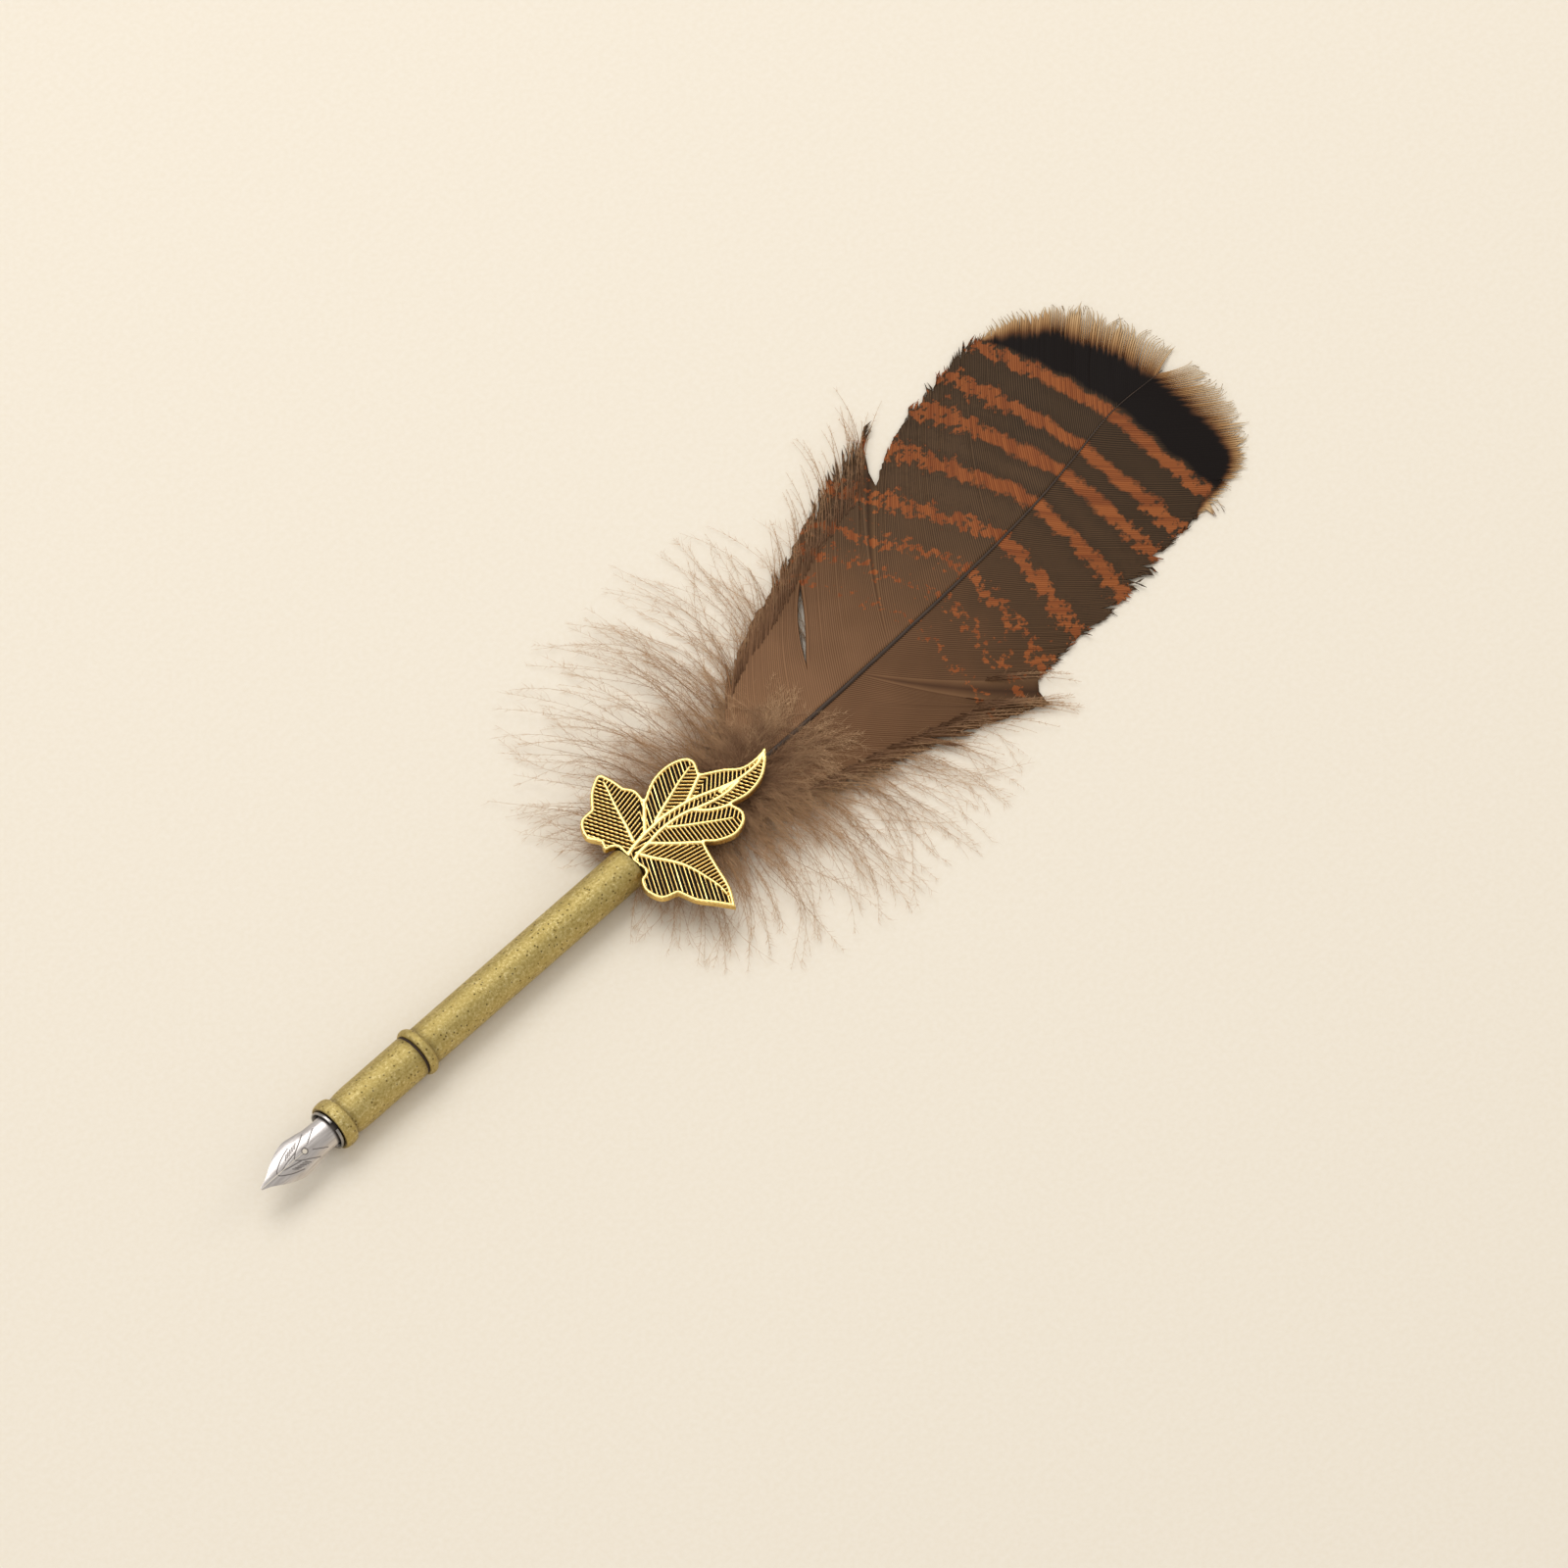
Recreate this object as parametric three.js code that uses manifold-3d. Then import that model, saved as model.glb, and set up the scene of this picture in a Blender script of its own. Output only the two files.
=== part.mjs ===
// A feather dip pen: a steel nib in a two-part brass holder, with a cast leaf and a tail feather
// glued into the holder's mouth. Millimetres, +Z up. The pen lies on z = 0 with its nib towards -X.
// Inside this file X is counted from the nib's point, and Y and Z from the holder's axis.
import * as THREE from 'three';
import { mergeVertices } from 'three/addons/utils/BufferGeometryUtils.js';
import Module from 'manifold-3d';

const wasm = await Module();
wasm.setup();

// Whole pen
const PEN_LENGTH = 244;
const CENTRE_Y = 2;
const AXIS_HEIGHT = 4.85;
const SIDES = 32;
const SEAT = 0.05;

// Nib, rolled from sheet steel
const NIB_LENGTH = 33;
const NIB_SHEET = 0.3;
const NIB_CROWN = 3.3;
const NIB_TIP_DROP = 0.4;
const NIB_ROLL = THREE.MathUtils.degToRad(25);
const NIB_STATIONS = [0, 0.5, 1.9, 3.8, 5.7, 7.7, 8.6, 9.4, 10.4, 11.5, 16, NIB_LENGTH];
const NIB_HALF_WIDTH = [[0, 0.28], [1.9, 0.95], [3.8, 1.95], [5.7, 2.85], [7.7, 3.5], [9.4, 3.72],
  [11.5, 3.45], [16, 2.98], [NIB_LENGTH, 2.98]];
const NIB_EDGE_DROP = [[0, 0.04], [1.9, 0.18], [3.8, 0.6], [5.7, 1.15], [7.7, 1.6], [9.4, 1.8],
  [11.5, 1.8], [16, 1.88], [NIB_LENGTH, 1.88]];
const VENT_X = 10.8;
const VENT_RADIUS = 0.55;
const SLIT_WIDTH = 0.12;

// Nib socket: a split steel sleeve with a flared rim, and a sprung clip inside it
const SLEEVE_FRONT = 17.6;
const SLEEVE_BACK = 34.2;
const SLEEVE_RADIUS = 3.7;
const SLEEVE_WALL = 0.3;
const SLEEVE_FLARE = 0.3;
const SLEEVE_SPLIT = 0.9;
const RIM_SEAT_DEPTH = 0.15;
const CLIP_FRONT = 19.5;
const CLIP_RADIUS = 2.9;
const CLIP_FLANGE_RADIUS = 3.33;
const CLIP_TAPER = 0.2;
const CLIP_SLOT = 0.8;
const CLIP_SLOT_END = 29;

// Turned holder
const BEAD_RADIUS = AXIS_HEIGHT;
const BARREL_RADIUS = 4.22;
const NECK_DEPTH = 0.25;
const NECK_EASE = 0.05;
const SOCKET_BORE = 3.8;
const STUD_BORE = 3.0;
const FRONT_RING_X = 18.35;
const FRONT_RING_WIDTH = 2.8;
const FRONT_RING_FLAT = 4.45;
const BARREL_END = 39.25;
const STUD_BORE_START = 35;
const WASHER_THICKNESS = 0.3;
const WASHER_RADIUS = 4.1;
const REAR_RING_WIDTH = 2;
const REAR_RING_FLAT = 4.15;
const TUBE_RADIUS = 3.95;
const TUBE_BORE = 3.5;
const TUBE_END = 94.85;
const TUBE_LIP = 0.25;
const TUBE_START = BARREL_END + WASHER_THICKNESS + 2 * SEAT;

// Screw joint between the grip and the stem
const STUD_GAP = 0.2;
const THREAD_PITCH = 1;
const THREAD_LENGTH = 5.4;
const THREAD_CREST = 3.0;
const THREAD_ROOT = 2.6;
const BUSH_BORE = 3.1;
const BUSH_LENGTH = 8;

// Leaf ornament and the glue that holds it and the quill
const LEAF_UNDERSIDE = 1.4;
const LEAF_THICKNESS = 1;
const LEAF_START = 95.2;
const TANG_LENGTH = 11;
const TANG_LEFT = 1.4;
const TANG_RIGHT = -1.2;
const GLUE_START = 82.5;
const GLUE_RECESS = 0.8;
const GLUE_RADIUS = 3.4;
const GLUE_GAP = 0.3;

// Feather
const QUILL_START = 84;
const QUILL_DROP = -1.2;
const QUILL_RADIUS = 1.35;
const UMBILICUS = 112;
const SHAFT_TIP_RADIUS = 0.25;
const VANE_THICKNESS = 0.6;
const DOWN_START = 98;
const VANE_START = 126;
const VANE_END = 240;
const VANE_CAMBER = 1.8;
const BARB_GAP = 0.2;
const DOWN_THICKNESS = 2.4;
const DOWN_EDGE_HEIGHT = -3.4;
const AFTERFEATHER_START = 98;
const AFTERFEATHER_END = 124;
const AFTERFEATHER_HEIGHT = -3.6;
const AFTERFEATHER_THICKNESS = 0.8;
const AFTERFEATHER_NARROW = 3;
const AFTERFEATHER_WIDE = 8;

// The shaft's line from the holder to the feather's tip, as X, Y and height above the axis.
const SHAFT_LINE = new THREE.CatmullRomCurve3([
  new THREE.Vector3(QUILL_START, 0, QUILL_DROP),
  new THREE.Vector3(100, 0, QUILL_DROP),
  new THREE.Vector3(126, -0.8, -1.4),
  new THREE.Vector3(150, -0.6, -1.7),
  new THREE.Vector3(182, 0.6, -2.2),
  new THREE.Vector3(202, 2.2, -2.6),
  new THREE.Vector3(215, 4.2, -2.9),
  new THREE.Vector3(228, 6.4, -3.2),
  new THREE.Vector3(VANE_END, 6.2, -3.5),
]);

// Outer edges, from the first barb's end to the feather's tip, in X and Y.
const LEFT_VANE_EDGE = [[149, 24], [162, 29], [174, 33], [190, 36.5], [206, 37], [219, 37.5],
  [230, 34.5], [237, 30], [241, 22], [243, 14], [PEN_LENGTH, 8]];
const RIGHT_VANE_EDGE = [[147, -19.5], [160, -22.5], [172, -24.5], [190, -24], [205, -22.5],
  [220, -20.5], [232, -19], [238, -14], [242, -6], [PEN_LENGTH, 4]];
const LEFT_DOWN_EDGE = [[91, 12], [93, 23], [103, 34], [120, 39], [134, 39.8], [144, 36], [148, 25]];
const RIGHT_DOWN_EDGE = [[91, -12], [97, -24], [110, -33], [124, -36], [137, -34], [145, -28],
  [146, -20.5]];

// The leaf's edge, clockwise from the stem, as smooth stretches that meet at notches and points.
const LEAF_EDGE = [
  [[95.2, 1.6], [95.3, 3.3], [94.5, 4.1], [93.3, 4.7], [93.9, 6.3]],
  [[93.9, 6.3], [92.7, 9], [94.4, 12], [97.5, 12.4]],
  [[97.5, 12.4], [100, 15], [103, 16.6], [104.1, 16.3]],
  [[104.1, 16.3], [104.7, 13.8], [104.9, 11.5]],
  [[104.9, 11.5], [106, 9.6], [105.7, 7]],
  [[105.7, 7], [109.8, 8.9], [113.8, 9.2], [117, 8.1], [117.9, 6.3], [116.7, 3.7]],
  [[116.7, 3.7], [120.4, 1.4], [123, -0.7], [126, -1.2], [129, -0.9]],
  [[129, -0.9], [127.2, -2.9], [124, -5], [120, -5.7], [116.2, -4.9]],
  [[116.2, -4.9], [116.6, -7.4], [115.2, -9.2], [112.2, -10], [109, -8.8], [107, -7]],
  [[107, -7], [106.2, -9], [105, -12.6], [103.6, -16.9], [101.3, -20.6]],
  [[101.3, -20.6], [99.3, -17.6], [97.2, -14.6], [96.1, -11.2]],
  [[96.1, -11.2], [93.2, -9.9], [92.3, -6.8], [93.3, -4.6], [94.6, -4.1], [95.3, -3.4], [95.2, -1.6]],
];

const antiqueBrass = new THREE.MeshStandardMaterial({ color: 0x9a8650, metalness: 1, roughness: 0.5 });
const leafGold = new THREE.MeshStandardMaterial({ color: 0xc2a050, metalness: 1, roughness: 0.4 });
const nibSteel = new THREE.MeshStandardMaterial({ color: 0xc8c8cc, metalness: 1, roughness: 0.2 });
const springSteel = new THREE.MeshStandardMaterial({ color: 0x9c9ca0, metalness: 1, roughness: 0.35 });
const darkFibre = new THREE.MeshStandardMaterial({ color: 0x3a2a26, metalness: 0, roughness: 0.9 });
const clearGlue = new THREE.MeshStandardMaterial({ color: 0xb09a70, metalness: 0, roughness: 0.3 });
const horn = new THREE.MeshStandardMaterial({ color: 0x4c4038, metalness: 0, roughness: 0.4 });
const vaneBrown = new THREE.MeshStandardMaterial({ color: 0x5e4534, metalness: 0, roughness: 0.8 });
const downBrown = new THREE.MeshStandardMaterial({ color: 0x8a7360, metalness: 0, roughness: 0.95 });

// Geometry helpers

// Turns a closed profile of [x, radius] points about the pen's axis, outer wall towards +X.
function turned(profile, sides = SIDES) {
  const loop = [...profile, profile[0]].map(([x, radius]) => new THREE.Vector2(radius, x));
  const ring = new THREE.LatheGeometry(loop, sides);
  ring.rotateZ(-Math.PI / 2);
  return ring;
}

function tube(start, end, outer, inner) {
  return turned([[start, outer], [end, outer], [end, inner], [start, inner]]);
}

// A closed geometry as a solid that can be cut.
function solidOf(geometry) {
  const bare = geometry.clone();
  bare.deleteAttribute('normal');
  bare.deleteAttribute('uv');
  const welded = mergeVertices(bare, 1e-5);
  return new wasm.Manifold(new wasm.Mesh({
    numProp: 3,
    vertProperties: new Float32Array(welded.attributes.position.array),
    triVerts: new Uint32Array(welded.index.array),
  }));
}

function geometryOf(solid) {
  const mesh = solid.getMesh();
  const geometry = new THREE.BufferGeometry();
  geometry.setAttribute('position', new THREE.BufferAttribute(mesh.vertProperties, 3));
  geometry.setIndex(new THREE.BufferAttribute(mesh.triVerts, 1));
  return geometry;
}

function cut(geometry, ...cutters) {
  return geometryOf(cutters.reduce((rest, cutter) => rest.subtract(solidOf(cutter)), solidOf(geometry)));
}

function box(start, end) {
  const size = new THREE.Vector3().subVectors(end, start);
  const middle = new THREE.Vector3().addVectors(start, end).multiplyScalar(0.5);
  return new THREE.BoxGeometry(size.x, size.y, size.z).translate(middle.x, middle.y, middle.z);
}

// A closed sheet between an upper and a lower surface. u runs along it and v from one side to the
// other, and X, the direction of v and +Z make a right-handed set.
function sheet(upper, lower, stepsU, stepsV) {
  const points = [];
  const faces = [];
  const row = stepsV + 1;
  const layer = (stepsU + 1) * row;
  for (const surface of [upper, lower]) {
    for (let i = 0; i <= stepsU; i++) {
      for (let j = 0; j <= stepsV; j++) {
        points.push(...surface(i / stepsU, j / stepsV).toArray());
      }
    }
  }
  const quad = (a, b, c, d) => faces.push(a, b, c, a, c, d);
  for (let i = 0; i < stepsU; i++) {
    for (let j = 0; j < stepsV; j++) {
      const k = i * row + j;
      quad(k, k + row, k + row + 1, k + 1);
      quad(layer + k, layer + k + 1, layer + k + row + 1, layer + k + row);
    }
    const near = i * row;
    const far = near + stepsV;
    quad(near, layer + near, layer + near + row, near + row);
    quad(far, far + row, layer + far + row, layer + far);
  }
  for (let j = 0; j < stepsV; j++) {
    const end = stepsU * row + j;
    quad(j, j + 1, layer + j + 1, layer + j);
    quad(end, layer + end, layer + end + 1, end + 1);
  }
  const geometry = new THREE.BufferGeometry();
  geometry.setAttribute('position', new THREE.Float32BufferAttribute(points, 3));
  geometry.setIndex(faces);
  return geometry;
}

// A round rod about the line of ringCentre(t), closed at both ends, with radius(t, angle).
function rod(ringCentre, radius, steps, sides) {
  const points = [];
  const faces = [];
  for (let i = 0; i <= steps; i++) {
    const centre = ringCentre(i / steps);
    for (let j = 0; j < sides; j++) {
      const angle = 2 * Math.PI * j / sides;
      const r = radius(i / steps, angle);
      points.push(centre.x, centre.y + r * Math.cos(angle), centre.z + r * Math.sin(angle));
    }
  }
  for (let i = 0; i < steps; i++) {
    for (let j = 0; j < sides; j++) {
      const next = (j + 1) % sides;
      const a = i * sides + j;
      const b = i * sides + next;
      faces.push(a, b, b + sides, a, b + sides, a + sides);
    }
  }
  const first = (steps + 1) * sides;
  const last = steps * sides;
  points.push(...ringCentre(0).toArray(), ...ringCentre(1).toArray());
  for (let j = 0; j < sides; j++) {
    const next = (j + 1) % sides;
    faces.push(first, next, j, first + 1, last + j, last + next);
  }
  const geometry = new THREE.BufferGeometry();
  geometry.setAttribute('position', new THREE.Float32BufferAttribute(points, 3));
  geometry.setIndex(faces);
  return geometry;
}

// Straight-line interpolation in a list of [x, value] stations.
function along(stations, x) {
  const next = Math.max(1, stations.findIndex(([at]) => at >= x));
  const [x0, value0] = stations[next - 1];
  const [x1, value1] = stations[next];
  return THREE.MathUtils.mapLinear(x, x0, x1, value0, value1);
}

// Nib and socket

function makeNib() {
  const surface = (depth) => (u, v) => {
    const x = NIB_STATIONS[Math.round(u * (NIB_STATIONS.length - 1))];
    const width = along(NIB_HALF_WIDTH, x);
    const drop = along(NIB_EDGE_DROP, x);
    const radius = (width * width + drop * drop) / (2 * drop);
    const angle = (2 * v - 1) * Math.asin(width / radius);
    const tipward = Math.max(0, 1 - x / VENT_X);
    const crown = NIB_CROWN - NIB_TIP_DROP * tipward * tipward;
    const r = radius - depth;
    return new THREE.Vector3(x, r * Math.sin(angle), crown - radius + r * Math.cos(angle));
  };
  const blank = sheet(surface(0), surface(NIB_SHEET), NIB_STATIONS.length - 1, 14);
  const vent = new THREE.CylinderGeometry(VENT_RADIUS, VENT_RADIUS, NIB_CROWN, 12);
  vent.rotateX(Math.PI / 2).translate(VENT_X, 0, NIB_CROWN);
  const slit = box(
    new THREE.Vector3(-1, -SLIT_WIDTH / 2, NIB_CROWN / 3),
    new THREE.Vector3(VENT_X, SLIT_WIDTH / 2, NIB_CROWN * 1.5),
  );
  return cut(blank, vent, slit);
}

function makeSplitSleeve() {
  const inner = SLEEVE_RADIUS - SLEEVE_WALL;
  const neck = FRONT_RING_X - SEAT;
  const rolled = turned([
    [SLEEVE_FRONT, SLEEVE_RADIUS + SLEEVE_FLARE],
    [neck - RIM_SEAT_DEPTH, SLEEVE_RADIUS + SLEEVE_FLARE],
    [neck, SLEEVE_RADIUS], [SLEEVE_BACK, SLEEVE_RADIUS], [SLEEVE_BACK, inner],
    [FRONT_RING_X, inner], [SLEEVE_FRONT, inner + SLEEVE_FLARE],
  ]);
  const split = box(
    new THREE.Vector3(SLEEVE_FRONT - 1, -SLEEVE_SPLIT / 2, 0),
    new THREE.Vector3(SLEEVE_BACK + 1, SLEEVE_SPLIT / 2, SLEEVE_RADIUS + 1),
  );
  return cut(rolled, split);
}

function makeSpringClip() {
  const inner = CLIP_RADIUS - SLEEVE_WALL;
  const flangeFront = NIB_LENGTH + SEAT;
  const flangeBack = SLEEVE_BACK - CLIP_TAPER;
  const drawn = turned([
    [CLIP_FRONT, CLIP_RADIUS - CLIP_TAPER], [CLIP_FRONT + 1, CLIP_RADIUS], [flangeFront, CLIP_RADIUS],
    [flangeFront, CLIP_FLANGE_RADIUS], [flangeBack, CLIP_FLANGE_RADIUS], [flangeBack, inner],
    [CLIP_FRONT + 1, inner], [CLIP_FRONT, inner - CLIP_TAPER],
  ]);
  const slotAcross = (turn) => box(
    new THREE.Vector3(CLIP_FRONT - 1, -CLIP_SLOT / 2, -SLEEVE_RADIUS),
    new THREE.Vector3(CLIP_SLOT_END, CLIP_SLOT / 2, SLEEVE_RADIUS),
  ).rotateX(turn);
  return cut(drawn, slotAcross(Math.PI / 4), slotAcross(-Math.PI / 4));
}

// Turned holder

// A half-round bead with flat end faces. Its bore may open into a shallow recess at the front.
function makeBead(front, width, bore, flat, recess = []) {
  const profile = [];
  const steps = 8;
  const rise = BEAD_RADIUS - flat;
  for (let i = 0; i <= steps; i++) {
    const angle = Math.PI * i / steps;
    profile.push([front + width / 2 * (1 - Math.cos(angle)), flat + rise * Math.sin(angle)]);
  }
  const mouth = recess.length ? recess : [[front, bore]];
  return turned([...profile, [front + width, bore], ...mouth]);
}

function makeFrontRing() {
  const seatDepth = FRONT_RING_X + RIM_SEAT_DEPTH;
  const seatRadius = SLEEVE_RADIUS + SLEEVE_FLARE + SEAT;
  const recess = [[seatDepth, SOCKET_BORE], [seatDepth, seatRadius], [FRONT_RING_X, seatRadius]];
  return makeBead(FRONT_RING_X, FRONT_RING_WIDTH, SOCKET_BORE, FRONT_RING_FLAT, recess);
}

function makeGripBarrel() {
  const front = FRONT_RING_X + FRONT_RING_WIDTH + SEAT;
  return turned([
    [front, BARREL_RADIUS - NECK_EASE], [front + 0.8, BARREL_RADIUS - NECK_DEPTH],
    [front + 2, BARREL_RADIUS - NECK_EASE], [front + 4, BARREL_RADIUS],
    [BARREL_END - 0.4, BARREL_RADIUS], [BARREL_END, BARREL_RADIUS - NECK_DEPTH],
    [BARREL_END, STUD_BORE], [STUD_BORE_START, STUD_BORE], [STUD_BORE_START, SOCKET_BORE],
    [front, SOCKET_BORE],
  ]);
}

function makeThreadStud() {
  const shank = STUD_BORE - SEAT;
  const start = STUD_BORE_START + STUD_GAP;
  const end = TUBE_START + THREAD_LENGTH;
  const centre = (t) => new THREE.Vector3(THREE.MathUtils.lerp(start, end, t), 0, 0);
  const radius = (t, angle) => {
    const x = THREE.MathUtils.lerp(start, end, t);
    if (x < TUBE_START) return shank;
    const phase = x / THREAD_PITCH - angle / (2 * Math.PI);
    const wave = 0.5 + 0.5 * Math.cos(2 * Math.PI * phase);
    return THREE.MathUtils.lerp(THREAD_ROOT, THREAD_CREST, wave);
  };
  return rod(centre, radius, 56, 20);
}

function makeSeamWasher() {
  return tube(BARREL_END + SEAT, TUBE_START - SEAT, WASHER_RADIUS, BUSH_BORE);
}

function makeThreadBush() {
  return tube(TUBE_START + SEAT, TUBE_START + BUSH_LENGTH, TUBE_BORE - SEAT, BUSH_BORE);
}

function makeRearRing() {
  return makeBead(TUBE_START, REAR_RING_WIDTH, TUBE_RADIUS + SEAT, REAR_RING_FLAT);
}

function makeStemTube() {
  return turned([
    [TUBE_START, TUBE_RADIUS], [TUBE_END - TUBE_LIP, TUBE_RADIUS], [TUBE_END, TUBE_RADIUS - TUBE_LIP],
    [TUBE_END, TUBE_BORE], [TUBE_START, TUBE_BORE],
  ]);
}

// Leaf and glue

function makeLeafOrnament() {
  const outline = [];
  for (const stretch of LEAF_EDGE) {
    const curve = new THREE.SplineCurve(stretch.map(([x, y]) => new THREE.Vector2(x, y)));
    outline.push(...curve.getPoints(2 * (stretch.length - 1)).slice(0, -1));
  }
  const tangStart = TUBE_END - TANG_LENGTH;
  outline.push(new THREE.Vector2(LEAF_START, TANG_RIGHT), new THREE.Vector2(tangStart, TANG_RIGHT));
  outline.push(new THREE.Vector2(tangStart, TANG_LEFT), new THREE.Vector2(LEAF_START, TANG_LEFT));
  const plate = new THREE.ExtrudeGeometry(new THREE.Shape(outline), {
    depth: LEAF_THICKNESS,
    bevelEnabled: false,
  });
  return plate.translate(0, 0, LEAF_UNDERSIDE);
}

function makeGluePlug() {
  const rodAlong = (start, end, radius, height, sides) => {
    const round = new THREE.CylinderGeometry(radius, radius, end - start, sides);
    return round.rotateZ(-Math.PI / 2).translate((start + end) / 2, 0, height);
  };
  const bead = rodAlong(GLUE_START, TUBE_END - GLUE_RECESS, GLUE_RADIUS, 0, SIDES);
  const holeRadius = QUILL_RADIUS + GLUE_GAP;
  const quillHole = rodAlong(QUILL_START - GLUE_GAP, TUBE_END, holeRadius, QUILL_DROP, SIDES / 2);
  const tangHole = box(
    new THREE.Vector3(TUBE_END - TANG_LENGTH - GLUE_GAP, TANG_RIGHT - GLUE_GAP, LEAF_UNDERSIDE - GLUE_GAP),
    new THREE.Vector3(TUBE_END, TANG_LEFT + GLUE_GAP, LEAF_UNDERSIDE + LEAF_THICKNESS + GLUE_GAP),
  );
  return cut(bead, quillHole, tangHole);
}

// Feather

const SHAFT_STATIONS = [[QUILL_START, 0.9], [QUILL_START + 2, QUILL_RADIUS], [UMBILICUS, QUILL_RADIUS],
  [VANE_START, 1.1], [180, 0.75], [220, 0.4], [VANE_END + 1, SHAFT_TIP_RADIUS]];
const SHAFT_SAMPLES = SHAFT_LINE.getPoints(400);

// The point of the shaft's line at a given X.
function shaftAt(x) {
  const next = Math.max(1, SHAFT_SAMPLES.findIndex((point) => point.x >= x));
  const before = SHAFT_SAMPLES[next - 1];
  const after = SHAFT_SAMPLES[next];
  return before.clone().lerp(after, (x - before.x) / (after.x - before.x));
}

function makeShaft(start, end, steps) {
  const place = (t) => THREE.MathUtils.lerp(start, end, t);
  return rod((t) => shaftAt(place(t)), (t) => along(SHAFT_STATIONS, place(t)), steps, 10);
}

// A soft sheet of barbs from the shaft out to an edge, which ends at edgeHeight above the axis.
function makeBarbs(edge, start, end, edgeHeight, thickness, steps) {
  const edgeLine = new THREE.SplineCurve(edge.map(([x, y]) => new THREE.Vector2(x, y)));
  const side = Math.sign(edge[0][1]);
  const surface = (lift) => (u, v) => {
    const across = side > 0 ? v : 1 - v;
    const root = shaftAt(THREE.MathUtils.lerp(start, end, u));
    root.y += side * (along(SHAFT_STATIONS, root.x) + BARB_GAP);
    const tip = edgeLine.getPointAt(u);
    const x = THREE.MathUtils.lerp(root.x, tip.x, across);
    const y = THREE.MathUtils.lerp(root.y, tip.y, across);
    const z = THREE.MathUtils.lerp(root.z, edgeHeight, across ** VANE_CAMBER);
    return new THREE.Vector3(x, y, z + lift * thickness(across) / 2);
  };
  return sheet(surface(1), surface(-1), steps, 6);
}

function makeVane(edge) {
  const edgeHeight = VANE_THICKNESS / 2 - AXIS_HEIGHT;
  return makeBarbs(edge, VANE_START, VANE_END, edgeHeight, () => VANE_THICKNESS, 28);
}

function makeDown(edge) {
  const plump = (across) => THREE.MathUtils.lerp(DOWN_THICKNESS, VANE_THICKNESS, across);
  return makeBarbs(edge, DOWN_START, VANE_START - 1, DOWN_EDGE_HEIGHT, plump, 12);
}

function makeAfterfeather() {
  const surface = (lift) => (u, v) => {
    const swell = Math.sin(Math.PI * Math.min(1, u + 0.1));
    const halfWidth = THREE.MathUtils.lerp(AFTERFEATHER_NARROW, AFTERFEATHER_WIDE, swell);
    const x = THREE.MathUtils.lerp(AFTERFEATHER_START, AFTERFEATHER_END, u);
    const z = AFTERFEATHER_HEIGHT + lift * AFTERFEATHER_THICKNESS / 2;
    return new THREE.Vector3(x, (2 * v - 1) * halfWidth, z);
  };
  return sheet(surface(1), surface(-1), 8, 4);
}

// Assembly

const pen = new THREE.Group();
pen.position.set(-PEN_LENGTH / 2, -CENTRE_Y, AXIS_HEIGHT);
const socket = new THREE.Group();
socket.rotation.x = NIB_ROLL;
pen.add(socket);

function place(group, name, geometry, material) {
  const mesh = new THREE.Mesh(geometry, material);
  mesh.name = name;
  group.add(mesh);
}

place(socket, 'nib', makeNib(), nibSteel);
place(socket, 'split_sleeve', makeSplitSleeve(), nibSteel);
place(socket, 'spring_clip', makeSpringClip(), springSteel);
place(pen, 'front_ring', makeFrontRing(), antiqueBrass);
place(pen, 'grip_barrel', makeGripBarrel(), antiqueBrass);
place(pen, 'thread_stud', makeThreadStud(), antiqueBrass);
place(pen, 'seam_washer', makeSeamWasher(), darkFibre);
place(pen, 'rear_ring', makeRearRing(), antiqueBrass);
place(pen, 'stem_tube', makeStemTube(), antiqueBrass);
place(pen, 'thread_bush', makeThreadBush(), antiqueBrass);
place(pen, 'glue_plug', makeGluePlug(), clearGlue);
place(pen, 'leaf_ornament', makeLeafOrnament(), leafGold);
place(pen, 'calamus', makeShaft(QUILL_START, UMBILICUS - SEAT, 10), horn);
place(pen, 'rachis', makeShaft(UMBILICUS, VANE_END, 28), horn);
place(pen, 'vane_left', makeVane(LEFT_VANE_EDGE), vaneBrown);
place(pen, 'vane_right', makeVane(RIGHT_VANE_EDGE), vaneBrown);
place(pen, 'down_left', makeDown(LEFT_DOWN_EDGE), downBrown);
place(pen, 'down_right', makeDown(RIGHT_DOWN_EDGE), downBrown);
place(pen, 'afterfeather', makeAfterfeather(), downBrown);

export default pen;
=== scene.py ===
import math

import bpy
import numpy as np
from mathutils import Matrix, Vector
from mathutils import geometry as flat_geometry


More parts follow.
